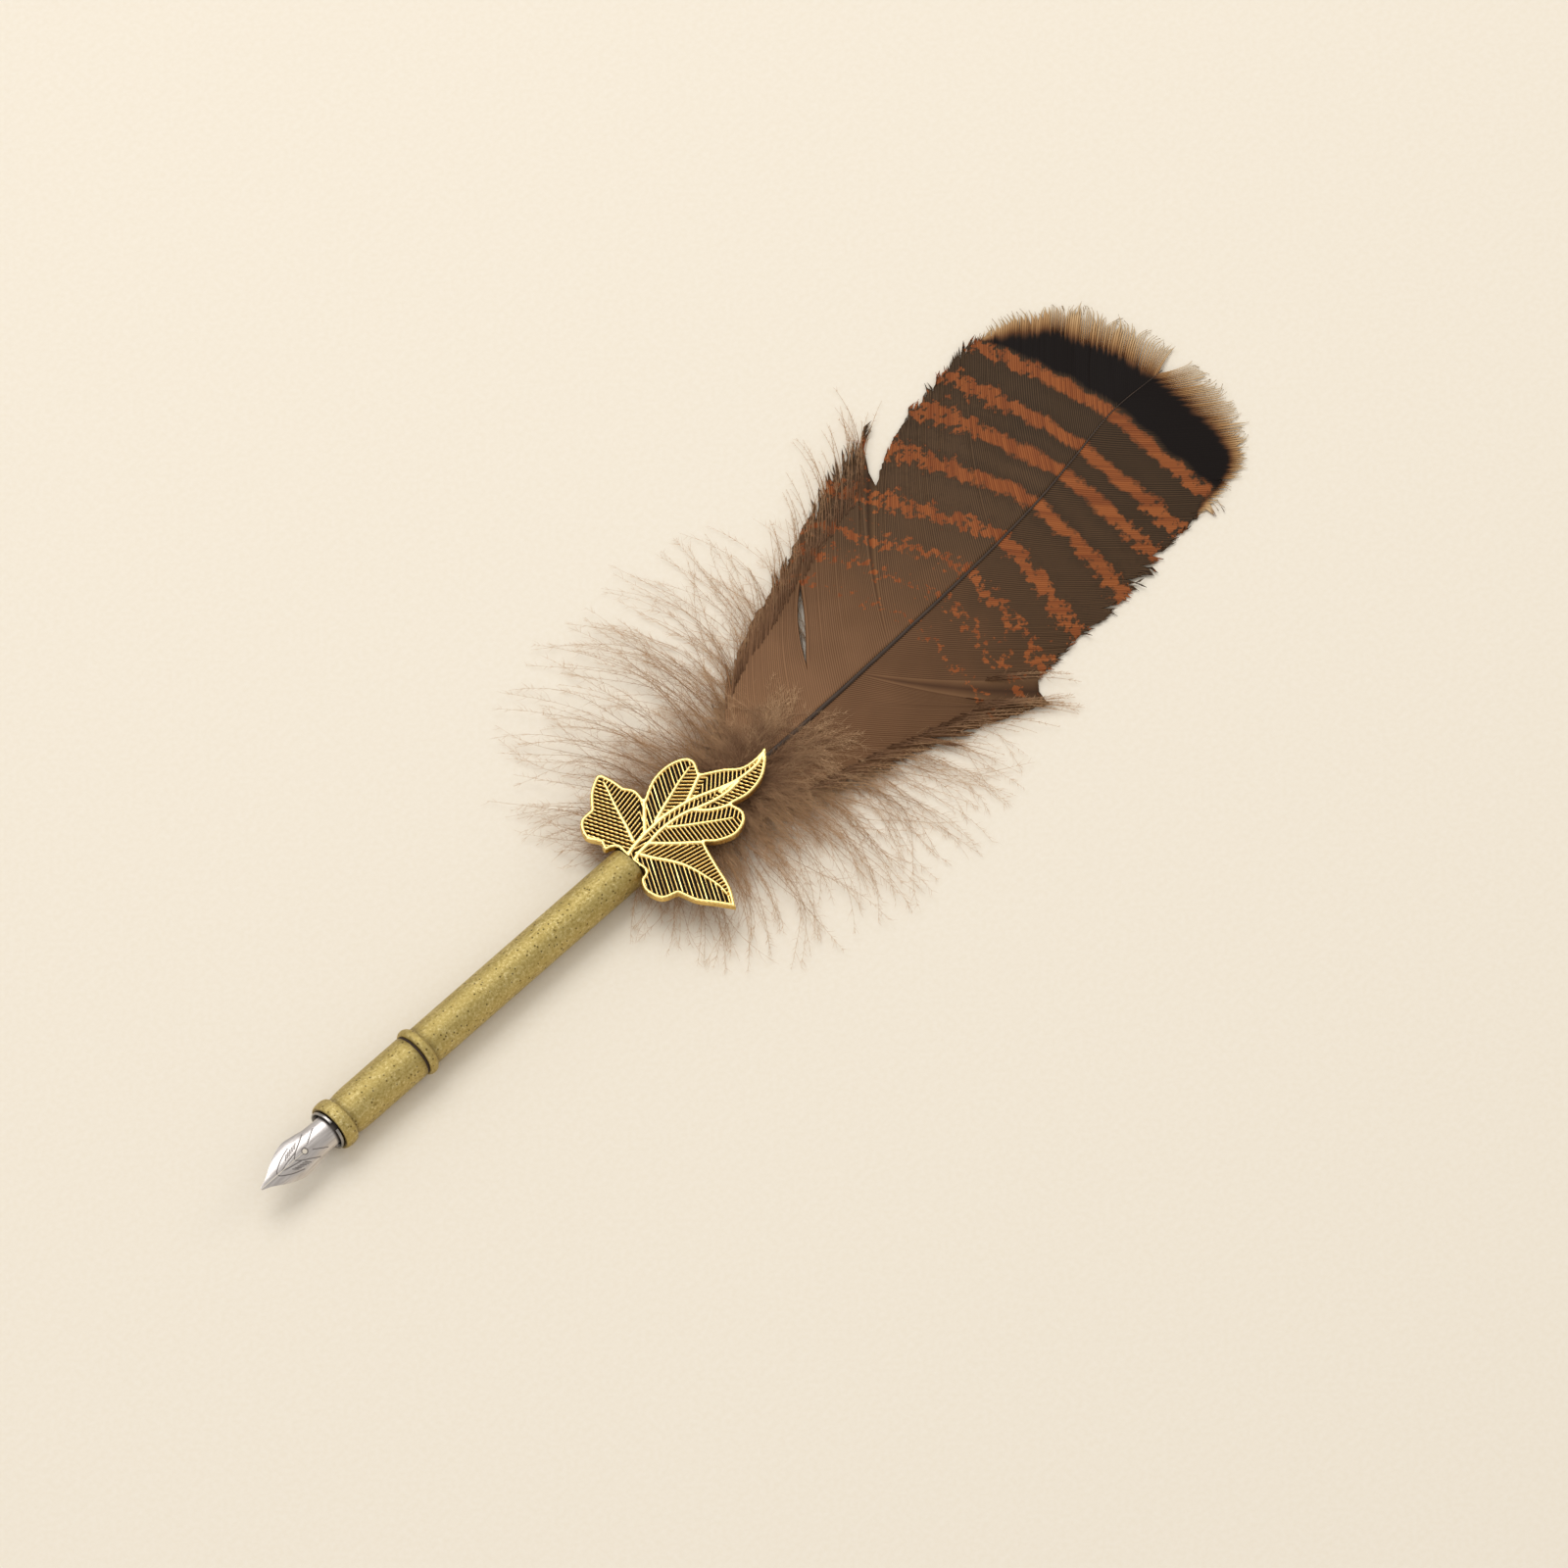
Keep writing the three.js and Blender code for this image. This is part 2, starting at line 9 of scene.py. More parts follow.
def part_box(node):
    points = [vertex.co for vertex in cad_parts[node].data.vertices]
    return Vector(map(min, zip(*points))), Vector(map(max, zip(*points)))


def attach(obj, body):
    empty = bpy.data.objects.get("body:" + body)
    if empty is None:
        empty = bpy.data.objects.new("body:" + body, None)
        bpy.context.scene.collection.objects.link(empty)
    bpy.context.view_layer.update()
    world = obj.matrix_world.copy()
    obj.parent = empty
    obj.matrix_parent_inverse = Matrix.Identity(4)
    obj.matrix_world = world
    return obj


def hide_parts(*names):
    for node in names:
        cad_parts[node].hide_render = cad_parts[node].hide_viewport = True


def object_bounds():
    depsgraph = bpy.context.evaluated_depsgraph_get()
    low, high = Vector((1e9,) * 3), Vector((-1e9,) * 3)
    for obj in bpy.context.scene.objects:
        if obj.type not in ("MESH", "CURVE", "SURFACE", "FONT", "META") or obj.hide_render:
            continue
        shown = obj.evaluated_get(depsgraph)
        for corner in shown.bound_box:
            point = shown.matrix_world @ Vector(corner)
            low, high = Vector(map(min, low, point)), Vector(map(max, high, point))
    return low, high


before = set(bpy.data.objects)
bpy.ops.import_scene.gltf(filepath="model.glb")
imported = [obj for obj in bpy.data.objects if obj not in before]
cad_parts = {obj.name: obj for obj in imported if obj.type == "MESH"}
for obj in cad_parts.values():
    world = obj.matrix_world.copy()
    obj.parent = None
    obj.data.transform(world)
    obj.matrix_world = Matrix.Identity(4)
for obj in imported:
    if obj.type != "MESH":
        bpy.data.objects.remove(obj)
cad_low, cad_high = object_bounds()


# Table, camera and lamps
# The pen lies on a pale paper-covered table, under one large soft lamp that hangs over its left
# side, a weaker one low on the right, and the even light of a white room.

def linear(hex_colour):
    """An sRGB hex colour as linear RGBA."""
    channels = [int(hex_colour[i:i + 2], 16) / 255 for i in (1, 3, 5)]
    return [c / 12.92 if c <= 0.04045 else ((c + 0.055) / 1.055) ** 2.4 for c in channels] + [1]


def add(material, kind, inputs=None, stops=None, **settings):
    """Adds a node. An input is a value, a socket, or a node whose first output is linked."""
    made = material.node_tree.nodes.new("ShaderNode" + kind)
    for name, value in settings.items():
        setattr(made, name, value)
    for name, value in (inputs or {}).items():
        if isinstance(value, bpy.types.Node):
            value = value.outputs[0]
        if isinstance(value, bpy.types.NodeSocket):
            material.node_tree.links.new(value, made.inputs[name])
        elif isinstance(value, str):
            made.inputs[name].default_value = linear(value)
        else:
            made.inputs[name].default_value = value
    if stops:
        ramp = made.color_ramp.elements
        while len(ramp) < len(stops):
            ramp.new(0.5)
        for element, (position, hex_colour) in zip(ramp, stops):
            element.position = position
            element.color = linear(hex_colour)
    return made


def new_material(name):
    material = bpy.data.materials.new(name)
    material.use_nodes = True
    material.node_tree.nodes.clear()
    return material


# Uncoated paper: matt and plain, with a fibre grain about 1 mm across.
table_paper = new_material("uncoated_paper")
place = add(table_paper, "TexCoord")
paper_grain = add(table_paper, "TexNoise", {"Vector": place.outputs["Object"], "Scale": 1000,
                                            "Detail": 3.0})
paper_colour = add(table_paper, "ValToRGB", {"Fac": paper_grain},
                   stops=[(0.3, "#ece2d0"), (0.7, "#efe6d6")])
paper_shader = add(table_paper, "BsdfPrincipled", {"Base Color": paper_colour, "Roughness": 0.9})
add(table_paper, "OutputMaterial", {"Surface": paper_shader})

TABLE_REACH = 4
corners = [(-TABLE_REACH, -TABLE_REACH, 0), (TABLE_REACH, -TABLE_REACH, 0),
           (TABLE_REACH, TABLE_REACH, 0), (-TABLE_REACH, TABLE_REACH, 0)]
table_mesh = bpy.data.meshes.new("table")
table_mesh.from_pydata(corners, [], [(0, 1, 2, 3)])
table_mesh.materials.append(table_paper)
table = bpy.data.objects.new("table", table_mesh)
bpy.context.collection.objects.link(table)

studio = bpy.context.scene
studio.view_settings.view_transform = "Standard"
middle = (cad_low + cad_high) / 2


def direction(azimuth, elevation):
    """The unit vector from the pen towards an azimuth and elevation in degrees."""
    a, e = math.radians(azimuth), math.radians(elevation)
    return Vector((math.sin(a) * math.cos(e), -math.cos(a) * math.cos(e), math.sin(e)))


CAMERA_DISTANCE = 3
CAMERA_LENS = 379
CAMERA_SIDE = direction(-45.6, 59)
# The camera looks a little past the middle of the pen's box, so that the pen sits well in view.
AIM_OFFSET = Vector((0.0053, -0.0094, -0.0009))
camera_data = bpy.data.cameras.new("camera")
camera_data.lens = CAMERA_LENS
camera_data.sensor_width = 36
camera = bpy.data.objects.new("camera", camera_data)
aim = middle + AIM_OFFSET
camera.location = aim + CAMERA_SIDE * CAMERA_DISTANCE
camera.rotation_euler = (-CAMERA_SIDE).to_track_quat("-Z", "Y").to_euler()
bpy.context.collection.objects.link(camera)
studio.camera = camera


def softbox(name, azimuth, elevation, distance, width, watts):
    """A square soft lamp that faces the pen."""
    data = bpy.data.lights.new(name, "AREA")
    data.size = width
    data.energy = watts
    lamp = bpy.data.objects.new(name, data)
    lamp.location = middle + direction(azimuth, elevation) * distance
    lamp.rotation_euler = (-direction(azimuth, elevation)).to_track_quat("-Z", "Y").to_euler()
    bpy.context.collection.objects.link(lamp)


softbox("overhead_softbox", 160, 62, 1.2, 0.8, 6.5)
softbox("low_fill_softbox", -70, 35, 1.5, 0.8, 2.5)
softbox("edge_softbox", 75, 30, 1.5, 0.5, 1.5)

room = bpy.data.worlds.new("white_room")
room.use_nodes = True
room.node_tree.nodes["Background"].inputs["Color"].default_value = linear("#fbf8f4")
room.node_tree.nodes["Background"].inputs["Strength"].default_value = 0.64
studio.world = room


# Steel nib
# A pointed nib pressed and rolled from thin sheet steel, polished, with a slit up to a round vent,
# a welded writing pellet, and a pressed line pattern. It is pushed into the socket's clip.

tube_low, tube_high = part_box("stem_tube")
AXIS = (tube_low + tube_high) / 2
NIB_POINT = Vector((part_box("nib")[0].x, AXIS.y, AXIS.z))


def to_frame(points):
    """Points in millimetres from the nib's point and the pen's axis, as points in the frame."""
    return np.asarray(points, float) / 1000 + np.array(NIB_POINT)


def make_piece(name, points, faces, material, crease=35):
    """A mesh piece of points in the pen's millimetres, smooth except over edges past crease."""
    mesh = bpy.data.meshes.new(name)
    mesh.from_pydata(to_frame(points).tolist(), [], faces)
    mesh.shade_smooth()
    mesh.set_sharp_from_angle(angle=math.radians(crease))
    mesh.materials.append(material)
    piece = bpy.data.objects.new(name, mesh)
    bpy.context.collection.objects.link(piece)
    return piece


def settle(piece, crease=35):
    """Applies a piece's modifiers."""
    bpy.context.view_layer.update()
    final = bpy.data.meshes.new_from_object(piece.evaluated_get(bpy.context.evaluated_depsgraph_get()))
    piece.modifiers.clear()
    piece.data = final
    final.shade_smooth()
    final.set_sharp_from_angle(angle=math.radians(crease))


def spline(points, count):
    """A smooth line through points, as count points evenly spaced along it."""
    p = np.asarray(points, float)
    padded = np.vstack([2 * p[0] - p[1], p, 2 * p[-1] - p[-2]])
    t = np.linspace(0, 1, 24, endpoint=False)[:, None]
    pieces = []
    for a, b, c, d in zip(padded, padded[1:], padded[2:], padded[3:]):
        bend = (2 * a - 5 * b + 4 * c - d) * t ** 2 + (3 * b - a - 3 * c + d) * t ** 3
        pieces.append(b + ((c - a) * t + bend) / 2)
    line = np.vstack([*pieces, p[-1:]])
    gone = np.concatenate([[0], np.cumsum(np.linalg.norm(np.diff(line, axis=0), axis=1))])
    at = np.linspace(0, gone[-1], count)
    return np.column_stack([np.interp(at, gone, axis) for axis in line.T])


def distance_to(line, points):
    """Each point's distance to a line of straight stretches, the place along it, and the side."""
    best = np.full(len(points), 1e9)
    place_on = np.zeros(len(points))
    side = np.zeros(len(points))
    for k, (a, b) in enumerate(zip(line, line[1:])):
        run = b - a
        offset = points - a
        t = np.clip(offset @ run / (run @ run), 0, 1)
        away = np.linalg.norm(offset - t[:, None] * run, axis=1)
        near = away < best
        best[near] = away[near]
        place_on[near] = (k + t[near]) / (len(line) - 1)
        cross = run[0] * offset[:, 1] - run[1] * offset[:, 0]
        side[near] = np.sign(cross[near])
    return best, place_on, side


def grid_faces(rows, columns, first=0):
    """Quads over a grid of points, rows by columns."""
    k = first + np.arange(rows * columns).reshape(rows, columns)
    return np.stack([k[:-1, :-1], k[1:, :-1], k[1:, 1:], k[:-1, 1:]], axis=-1).reshape(-1, 4).tolist()


NIB_LENGTH = 33
NIB_SHEET = 0.3
NIB_CROWN = 3.3
NIB_TIP_DROP = 0.4
NIB_ROLL = math.radians(25)
VENT_X = 10.8
VENT_RADIUS = 0.47
SLIT_WIDTH = 0.12
SHOWN_NIB = 19
ENGRAVING_DEPTH = 0.04
ENGRAVING_WIDTH = 0.095
SHOULDER_STROKES = 6
PELLET_LENGTH = 0.72
PELLET_OFFSET = 0.19
PELLET_HALF_WIDTH = 0.13
PELLET_HALF_HEIGHT = 0.17
PELLET_HEIGHT = 2.74
PELLET_SIDES = 20
PELLET_STEPS = 10

# The nib's half width and the drop of its edges under its crown, along its length.
NIB_X = [0, 0.5, 1.9, 3.8, 5.7, 7.7, 9.4, 11.5, 16, NIB_LENGTH]
NIB_HALF_WIDTH = [0.26, 0.42, 0.95, 1.95, 2.85, 3.5, 3.72, 3.45, 2.98, 2.98]
NIB_SAG = [0.06, 0.07, 0.18, 0.6, 1.15, 1.6, 1.8, 1.8, 1.88, 1.88]

half_width_line = spline(np.column_stack([NIB_X, NIB_HALF_WIDTH]), 500)
sag_line = spline(np.column_stack([NIB_X, NIB_SAG]), 500)
nib_x = np.concatenate([np.linspace(0, SHOWN_NIB, 260), np.linspace(SHOWN_NIB, NIB_LENGTH, 20)[1:]])
nib_v = np.linspace(-1, 1, 121)
width = np.interp(nib_x, *half_width_line.T)[:, None]
sag = np.interp(nib_x, *sag_line.T)[:, None]
bend_radius = (width ** 2 + sag ** 2) / (2 * sag)
turn = nib_v * np.arcsin(np.clip(width / bend_radius, 0, 1))
crown = (NIB_CROWN - NIB_TIP_DROP * np.clip(1 - nib_x / VENT_X, 0, 1) ** 2)[:, None]

# The pressed pattern: a rounded V in front, two chevrons, and feather strokes on the shoulders.
engraved = []
for hand in (1, -1):
    engraved.append(spline([(4.05, 0), (4.2, 0.4 * hand), (5.6, 1.25 * hand), (7, 1.9 * hand),
                            (8.8, 2.5 * hand)], 24))
    engraved.append(spline([(8.3, 0.15 * hand), (9.3, 0.9 * hand), (11, 1.8 * hand),
                            (12.8, 2.9 * hand)], 24))
    engraved.append(spline([(12.2, 0.7 * hand), (13.4, 1.4 * hand), (15, 2.4 * hand)], 18))
    engraved.append(spline([(5, 0), (7, 0.5 * hand), (9.3, 0.9 * hand)], 12))
    for k in range(SHOULDER_STROKES):
        stroke_x = 6.9 + 0.55 * k
        engraved.append(np.array([(stroke_x, (1.0 + 0.1 * k) * hand),
                                  (stroke_x + 0.95, (1.75 + 0.12 * k) * hand)]))
across = (turn * bend_radius).ravel()
lengthwise = np.repeat(nib_x, len(nib_v))
flat_points = np.column_stack([lengthwise, across])
groove = np.zeros(len(flat_points))
for line in engraved:
    away, _, _ = distance_to(line, flat_points)
    groove = np.maximum(groove, np.exp(-(away / ENGRAVING_WIDTH) ** 2))
from_vent = np.hypot(lengthwise - VENT_X, across)
groove = np.maximum(groove, np.exp(-((from_vent - VENT_RADIUS - 0.08) / 0.13) ** 2))
groove *= lengthwise < SHOWN_NIB
pressed = bend_radius - ENGRAVING_DEPTH * groove.reshape(turn.shape)
nib_y = (pressed * np.sin(turn)).ravel()
nib_z = (crown - bend_radius + pressed * np.cos(turn)).ravel()


def rolled(x, y, z):
    """Points turned about the pen's axis with the nib and its socket."""
    return np.column_stack([x, y * math.cos(NIB_ROLL) - z * math.sin(NIB_ROLL),
                            y * math.sin(NIB_ROLL) + z * math.cos(NIB_ROLL)])


# Polished spring steel: bright, slightly warm, with fine lengthwise polishing lines 0.25 mm apart,
# drawn coarse enough to show, soft tarnish in the pressed lines, and a band of painted shade at the
# sleeve's mouth.
nib_steel = new_material("polished_spring_steel")
place = add(nib_steel, "TexCoord")
long_lines = add(nib_steel, "Mapping", {"Vector": place.outputs["Object"], "Scale": (0.06, 1, 1)})
polish = add(nib_steel, "TexNoise", {"Vector": long_lines, "Scale": 1000 / 0.25, "Detail": 3.0})
steel_colour = add(nib_steel, "ValToRGB", {"Fac": polish}, stops=[(0.3, "#bdb6b2"), (0.7, "#dcd6d2")])
# This reads the pressed lines' tarnish together with the band of painted shade at the sleeve's mouth.
pressed_line_and_shade = add(nib_steel, "Attribute", attribute_name="pressed")
tarnished_and_painted_shade = add(nib_steel, "MixRGB", {"Fac": pressed_line_and_shade.outputs["Fac"], "Color1": steel_colour,
                                      "Color2": "#57504c"})
steel_roughness = add(nib_steel, "MapRange", {"Value": polish, "To Min": 0.3, "To Max": 0.42})
steel_relief = add(nib_steel, "Bump", {"Height": polish, "Strength": 0.05, "Distance": 0.0001})
steel_metal = add(nib_steel, "MapRange", {"Value": pressed_line_and_shade.outputs["Fac"], "To Min": 1.0,
                                          "To Max": 0.5})
steel_shader = add(nib_steel, "BsdfPrincipled", {"Base Color": tarnished_and_painted_shade, "Metallic": steel_metal,
                                                 "Roughness": steel_roughness, "Normal": steel_relief})
add(nib_steel, "OutputMaterial", {"Surface": steel_shader})


def note(piece, name, values):
    """Keeps one number for each point of a piece, for its material to read."""
    piece.data.attributes.new(name, "FLOAT", "POINT").data.foreach_set("value", np.ravel(values))


nib = make_piece("steel_nib", rolled(lengthwise, nib_y, nib_z), grid_faces(len(nib_x), len(nib_v)),
                 nib_steel)
# A band of painted shade, with some old ink, darkens the nib where it enters the sleeve's mouth and shows
# through the sleeve's split.
ink_and_painted_shade_band = np.interp(lengthwise, [17.0, 17.5, 18.6, 19.4], [0, 1, 1, 0])
note(nib, "pressed", np.maximum(groove, ink_and_painted_shade_band))
sheet_metal = nib.modifiers.new("sheet", "SOLIDIFY")
sheet_metal.thickness = NIB_SHEET / 1000
sheet_metal.offset = -1


def cut(piece, cutter):
    """Cuts one closed piece out of another, and removes the cutter."""
    boolean = piece.modifiers.new("cut", "BOOLEAN")
    boolean.operation = "DIFFERENCE"
    boolean.solver = "EXACT"
    boolean.object = cutter
    settle(piece)
    bpy.data.objects.remove(cutter)


def round_cutter(x, radius, z_low, z_high, sides=40):
    """A round cutter across the pen's axis, turned with the nib."""
    a = np.linspace(0, 2 * math.pi, sides, endpoint=False)
    ring = [rolled(x + radius * np.cos(a), radius * np.sin(a), np.full(sides, z)) for z in (z_low, z_high)]
    walls = [(k, (k + 1) % sides, sides + (k + 1) % sides, sides + k) for k in range(sides)]
    ends = [tuple(range(sides - 1, -1, -1)), tuple(range(sides, 2 * sides))]
    return make_piece("cutter", np.vstack(ring), walls + ends, nib_steel)


def box_cutter(x_low, x_high, half, z_low, z_high):
    """A box cutter on the nib's middle plane, turned with the nib."""
    x, y, z = np.meshgrid([x_low, x_high], [-half, half], [z_low, z_high], indexing="ij")
    faces = [(0, 1, 3, 2), (4, 6, 7, 5), (0, 4, 5, 1), (2, 3, 7, 6), (0, 2, 6, 4), (1, 5, 7, 3)]
    return make_piece("cutter", rolled(x.ravel(), y.ravel(), z.ravel()), faces, nib_steel)


settle(nib)
cut(nib, round_cutter(VENT_X, VENT_RADIUS, 2, 4.5))
cut(nib, box_cutter(-1, VENT_X, SLIT_WIDTH / 2, 1, 5))
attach(nib, "nib")
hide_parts("nib")

# The writing pellet: a bead of hard metal under the point, split by the slit.
for hand, name in ((1, "pellet_left"), (-1, "pellet_right")):
    a, b = np.meshgrid(np.linspace(0, math.pi, PELLET_STEPS + 1),
                       np.linspace(0, 2 * math.pi, PELLET_SIDES, endpoint=False), indexing="ij")
    bead_x = PELLET_LENGTH / 2 - PELLET_LENGTH / 2 * np.cos(a)
    bead_y = hand * (PELLET_OFFSET + PELLET_HALF_WIDTH * np.sin(a) * np.cos(b))
    bead_z = PELLET_HEIGHT + PELLET_HALF_HEIGHT * np.sin(a) * np.sin(b)
    faces = [(i * PELLET_SIDES + j, i * PELLET_SIDES + (j + 1) % PELLET_SIDES,
              (i + 1) * PELLET_SIDES + (j + 1) % PELLET_SIDES, (i + 1) * PELLET_SIDES + j)
             for i in range(PELLET_STEPS) for j in range(PELLET_SIDES)]
    pellet = make_piece(name, rolled(bead_x.ravel(), bead_y.ravel(), bead_z.ravel()), faces, nib_steel)
    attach(pellet, "nib")


# Split sleeve and spring clip
# The nib socket: a thin plated steel sleeve, rolled to a C with its split over the nib and a flared
# rim, pressed into the grip, and inside it a sprung clip that pinches the nib's heel.

def lathe(profile, sides=112, opening=0.0):
    """Turns a closed profile of (x, radius) points about the axis. opening is a gap at the top, in
    radians, whose two ends are closed. It returns points and faces."""
    x, r = np.asarray(profile, float).T
    n = len(x)
    whole = opening == 0
    angles = np.linspace(opening / 2, 2 * math.pi - opening / 2, sides, endpoint=not whole)
    points = np.stack([np.broadcast_to(x, (sides, n)), r * np.sin(angles)[:, None],
                       r * np.cos(angles)[:, None]], axis=-1).reshape(-1, 3)
    faces = []
    for i in range(sides if whole else sides - 1):
        a, b = i * n, (i + 1) % sides * n
        faces += [(a + j, a + (j + 1) % n, b + (j + 1) % n, b + j) for j in range(n)]
    if not whole:
        faces += [tuple(range(n - 1, -1, -1)), tuple(range((sides - 1) * n, sides * n))]
    return points, faces


def rounded(corners, radius, steps=4):
    """A closed profile with each corner rounded off, to radius or as much as its sides allow."""
    p = np.asarray(corners, float)
    smooth = []
    for before, corner, after in zip(np.roll(p, 1, axis=0), p, np.roll(p, -1, axis=0)):
        to_before, to_after = before - corner, after - corner
        reach = min(radius, np.linalg.norm(to_before) / 2.2, np.linalg.norm(to_after) / 2.2)
        start = corner + to_before / np.linalg.norm(to_before) * reach
        end = corner + to_after / np.linalg.norm(to_after) * reach
        for t in np.linspace(0, 1, steps):
            smooth.append((1 - t) ** 2 * start + 2 * t * (1 - t) * corner + t ** 2 * end)
    return np.array(smooth)


SLEEVE_RADIUS = 3.7
SLEEVE_WALL = 0.3
SLEEVE_FLARE = 0.3
SLEEVE_SPLIT = 1.5
SLEEVE_FRONT = 17.6
SLEEVE_BACK = 34.2
RING_FRONT = (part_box("front_ring")[0].x - NIB_POINT.x) * 1000
sleeve_bore = SLEEVE_RADIUS - SLEEVE_WALL
sleeve_profile = rounded([
    (SLEEVE_FRONT, SLEEVE_RADIUS + SLEEVE_FLARE), (RING_FRONT - 0.15, SLEEVE_RADIUS + SLEEVE_FLARE),
    (RING_FRONT, SLEEVE_RADIUS), (SLEEVE_BACK, SLEEVE_RADIUS), (SLEEVE_BACK, sleeve_bore),
    (RING_FRONT, sleeve_bore), (SLEEVE_FRONT, sleeve_bore + SLEEVE_FLARE),
], 0.1)
points, faces = lathe(sleeve_profile, opening=SLEEVE_SPLIT / SLEEVE_RADIUS)

# Nickel-plated sheet: bright and a little softer than the nib, with drawing marks 0.4 mm apart
# round it.
plated_sleeve = new_material("nickel_plated_sheet")
place = add(plated_sleeve, "TexCoord")
drawn_marks = add(plated_sleeve, "Mapping", {"Vector": place.outputs["Object"], "Scale": (1, 0.1, 0.1)})
drawing = add(plated_sleeve, "TexNoise", {"Vector": drawn_marks, "Scale": 1000 / 0.4, "Detail": 3.0})
plate_colour = add(plated_sleeve, "ValToRGB", {"Fac": drawing}, stops=[(0.3, "#7d7975"), (0.7, "#b4b0ac")])
plate_roughness = add(plated_sleeve, "MapRange", {"Value": drawing, "To Min": 0.16, "To Max": 0.34})
plate_relief = add(plated_sleeve, "Bump", {"Height": drawing, "Strength": 0.08, "Distance": 0.0001})
plate_shader = add(plated_sleeve, "BsdfPrincipled", {"Base Color": plate_colour, "Metallic": 1.0,
                                                     "Roughness": plate_roughness,
                                                     "Normal": plate_relief})
add(plated_sleeve, "OutputMaterial", {"Surface": plate_shader})

split_sleeve = make_piece("plated_split_sleeve", rolled(*points.T), faces, plated_sleeve)
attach(split_sleeve, "grip")
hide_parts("split_sleeve")


def refinish(node, material):
    """Gives a CAD node that stays in view its finish."""
    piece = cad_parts[node]
    piece.data.materials.clear()
    piece.data.materials.append(material)


refinish("spring_clip", plated_sleeve)


# Grip barrel and its front ring
# The grip is turned from brass and tumbled with grit, then dipped in a dark patina and rubbed back.
# Its front ring is a separate half-round bead, pressed on over the sleeve.

def bead_profile(front, width, bore, flat, top, recess=()):
    """A half-round bead that stands on narrow flats, with its bore, which may open in a recess."""
    a = np.linspace(0, math.pi, 25)
    arc = np.column_stack([front + width / 2 * (1 - np.cos(a)), flat + (top - flat) * np.sin(a)])
    mouth = list(recess) or [(front, bore)]
    return np.vstack([arc, [(front + width, bore)], mouth])


# Antique brass: an olive-gold metal with a sandy tumbled skin, whose grains are about 0.55 mm,
# small dark pits about 1.1 mm apart, and brown patina left in the creases.
antique_brass = new_material("tumbled_antique_brass")
place = add(antique_brass, "TexCoord")
grit = add(antique_brass, "TexNoise", {"Vector": place.outputs["Object"], "Scale": 1000 / 0.55,
                                       "Detail": 4.0, "Roughness": 0.7})
blotch = add(antique_brass, "TexNoise", {"Vector": place.outputs["Object"], "Scale": 1000 / 5,
                                         "Detail": 3.0})
rubbed = add(antique_brass, "ValToRGB", {"Fac": grit}, stops=[
    (0.3, "#6f5a2a"), (0.42, "#b7a262"), (0.56, "#cdb97c"), (0.68, "#fbeeb8")])
clouded = add(antique_brass, "MixRGB", {"Fac": blotch, "Color1": rubbed, "Color2": "#b09b5c"})
pits = add(antique_brass, "TexVoronoi", {"Vector": place.outputs["Object"], "Scale": 1000 / 1.1})
pit_depth = add(antique_brass, "MapRange", {"Value": pits, "From Min": 0.1, "From Max": 0.22,
                                            "To Min": 0.8, "To Max": 0.0})
pitted = add(antique_brass, "MixRGB", {"Fac": pit_depth, "Color1": clouded, "Color2": "#3c2a10"})
patina = add(antique_brass, "Attribute", attribute_name="patina")
darkened = add(antique_brass, "MixRGB", {"Fac": patina.outputs["Fac"], "Color1": pitted,
                                         "Color2": "#43301a"})
brass_roughness = add(antique_brass, "MapRange", {"Value": grit, "To Min": 0.52, "To Max": 0.34})
brass_relief = add(antique_brass, "Bump", {"Height": grit, "Strength": 0.7, "Distance": 0.0003})
brass_shader = add(antique_brass, "BsdfPrincipled", {"Base Color": darkened, "Metallic": 1.0,
                                                     "Roughness": brass_roughness,
                                                     "Normal": brass_relief})
add(antique_brass, "OutputMaterial", {"Surface": brass_shader})


def along_pen(piece):
    """The place of each point of a piece along the pen, in millimetres from the nib's point."""
    return np.array([v.co.x for v in piece.data.vertices]) * 1000 - NIB_POINT.x * 1000


def mm_range(node):
    """Where a CAD node starts and ends along the pen, in millimetres from the nib's point."""
    low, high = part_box(node)
    return (low.x - NIB_POINT.x) * 1000, (high.x - NIB_POINT.x) * 1000


BEAD_RADIUS = AXIS.z * 1000
SOCKET_BORE = 3.8
RIM_RADIUS = 4.05
RIM_SEAT = 0.15
FRONT_RING_FLAT = 4.45
# Patina gathers inside this radius, up to a limit.
FRONT_RING_DARK = 4.55
PATINA_FADE = 0.3
PATINA_MOST = 0.8
ring_front, ring_back = mm_range("front_ring")
recess = [(ring_front + RIM_SEAT, SOCKET_BORE), (ring_front + RIM_SEAT, RIM_RADIUS),
          (ring_front, RIM_RADIUS)]
points, faces = lathe(bead_profile(ring_front, ring_back - ring_front, SOCKET_BORE, FRONT_RING_FLAT,
                                   BEAD_RADIUS, recess))
front_ring = make_piece("brass_front_ring", points, faces, antique_brass)
radius = np.hypot(points[:, 1], points[:, 2])
note(front_ring, "patina", np.clip((FRONT_RING_DARK - radius) / PATINA_FADE, 0, PATINA_MOST))
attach(front_ring, "grip")
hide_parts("front_ring")

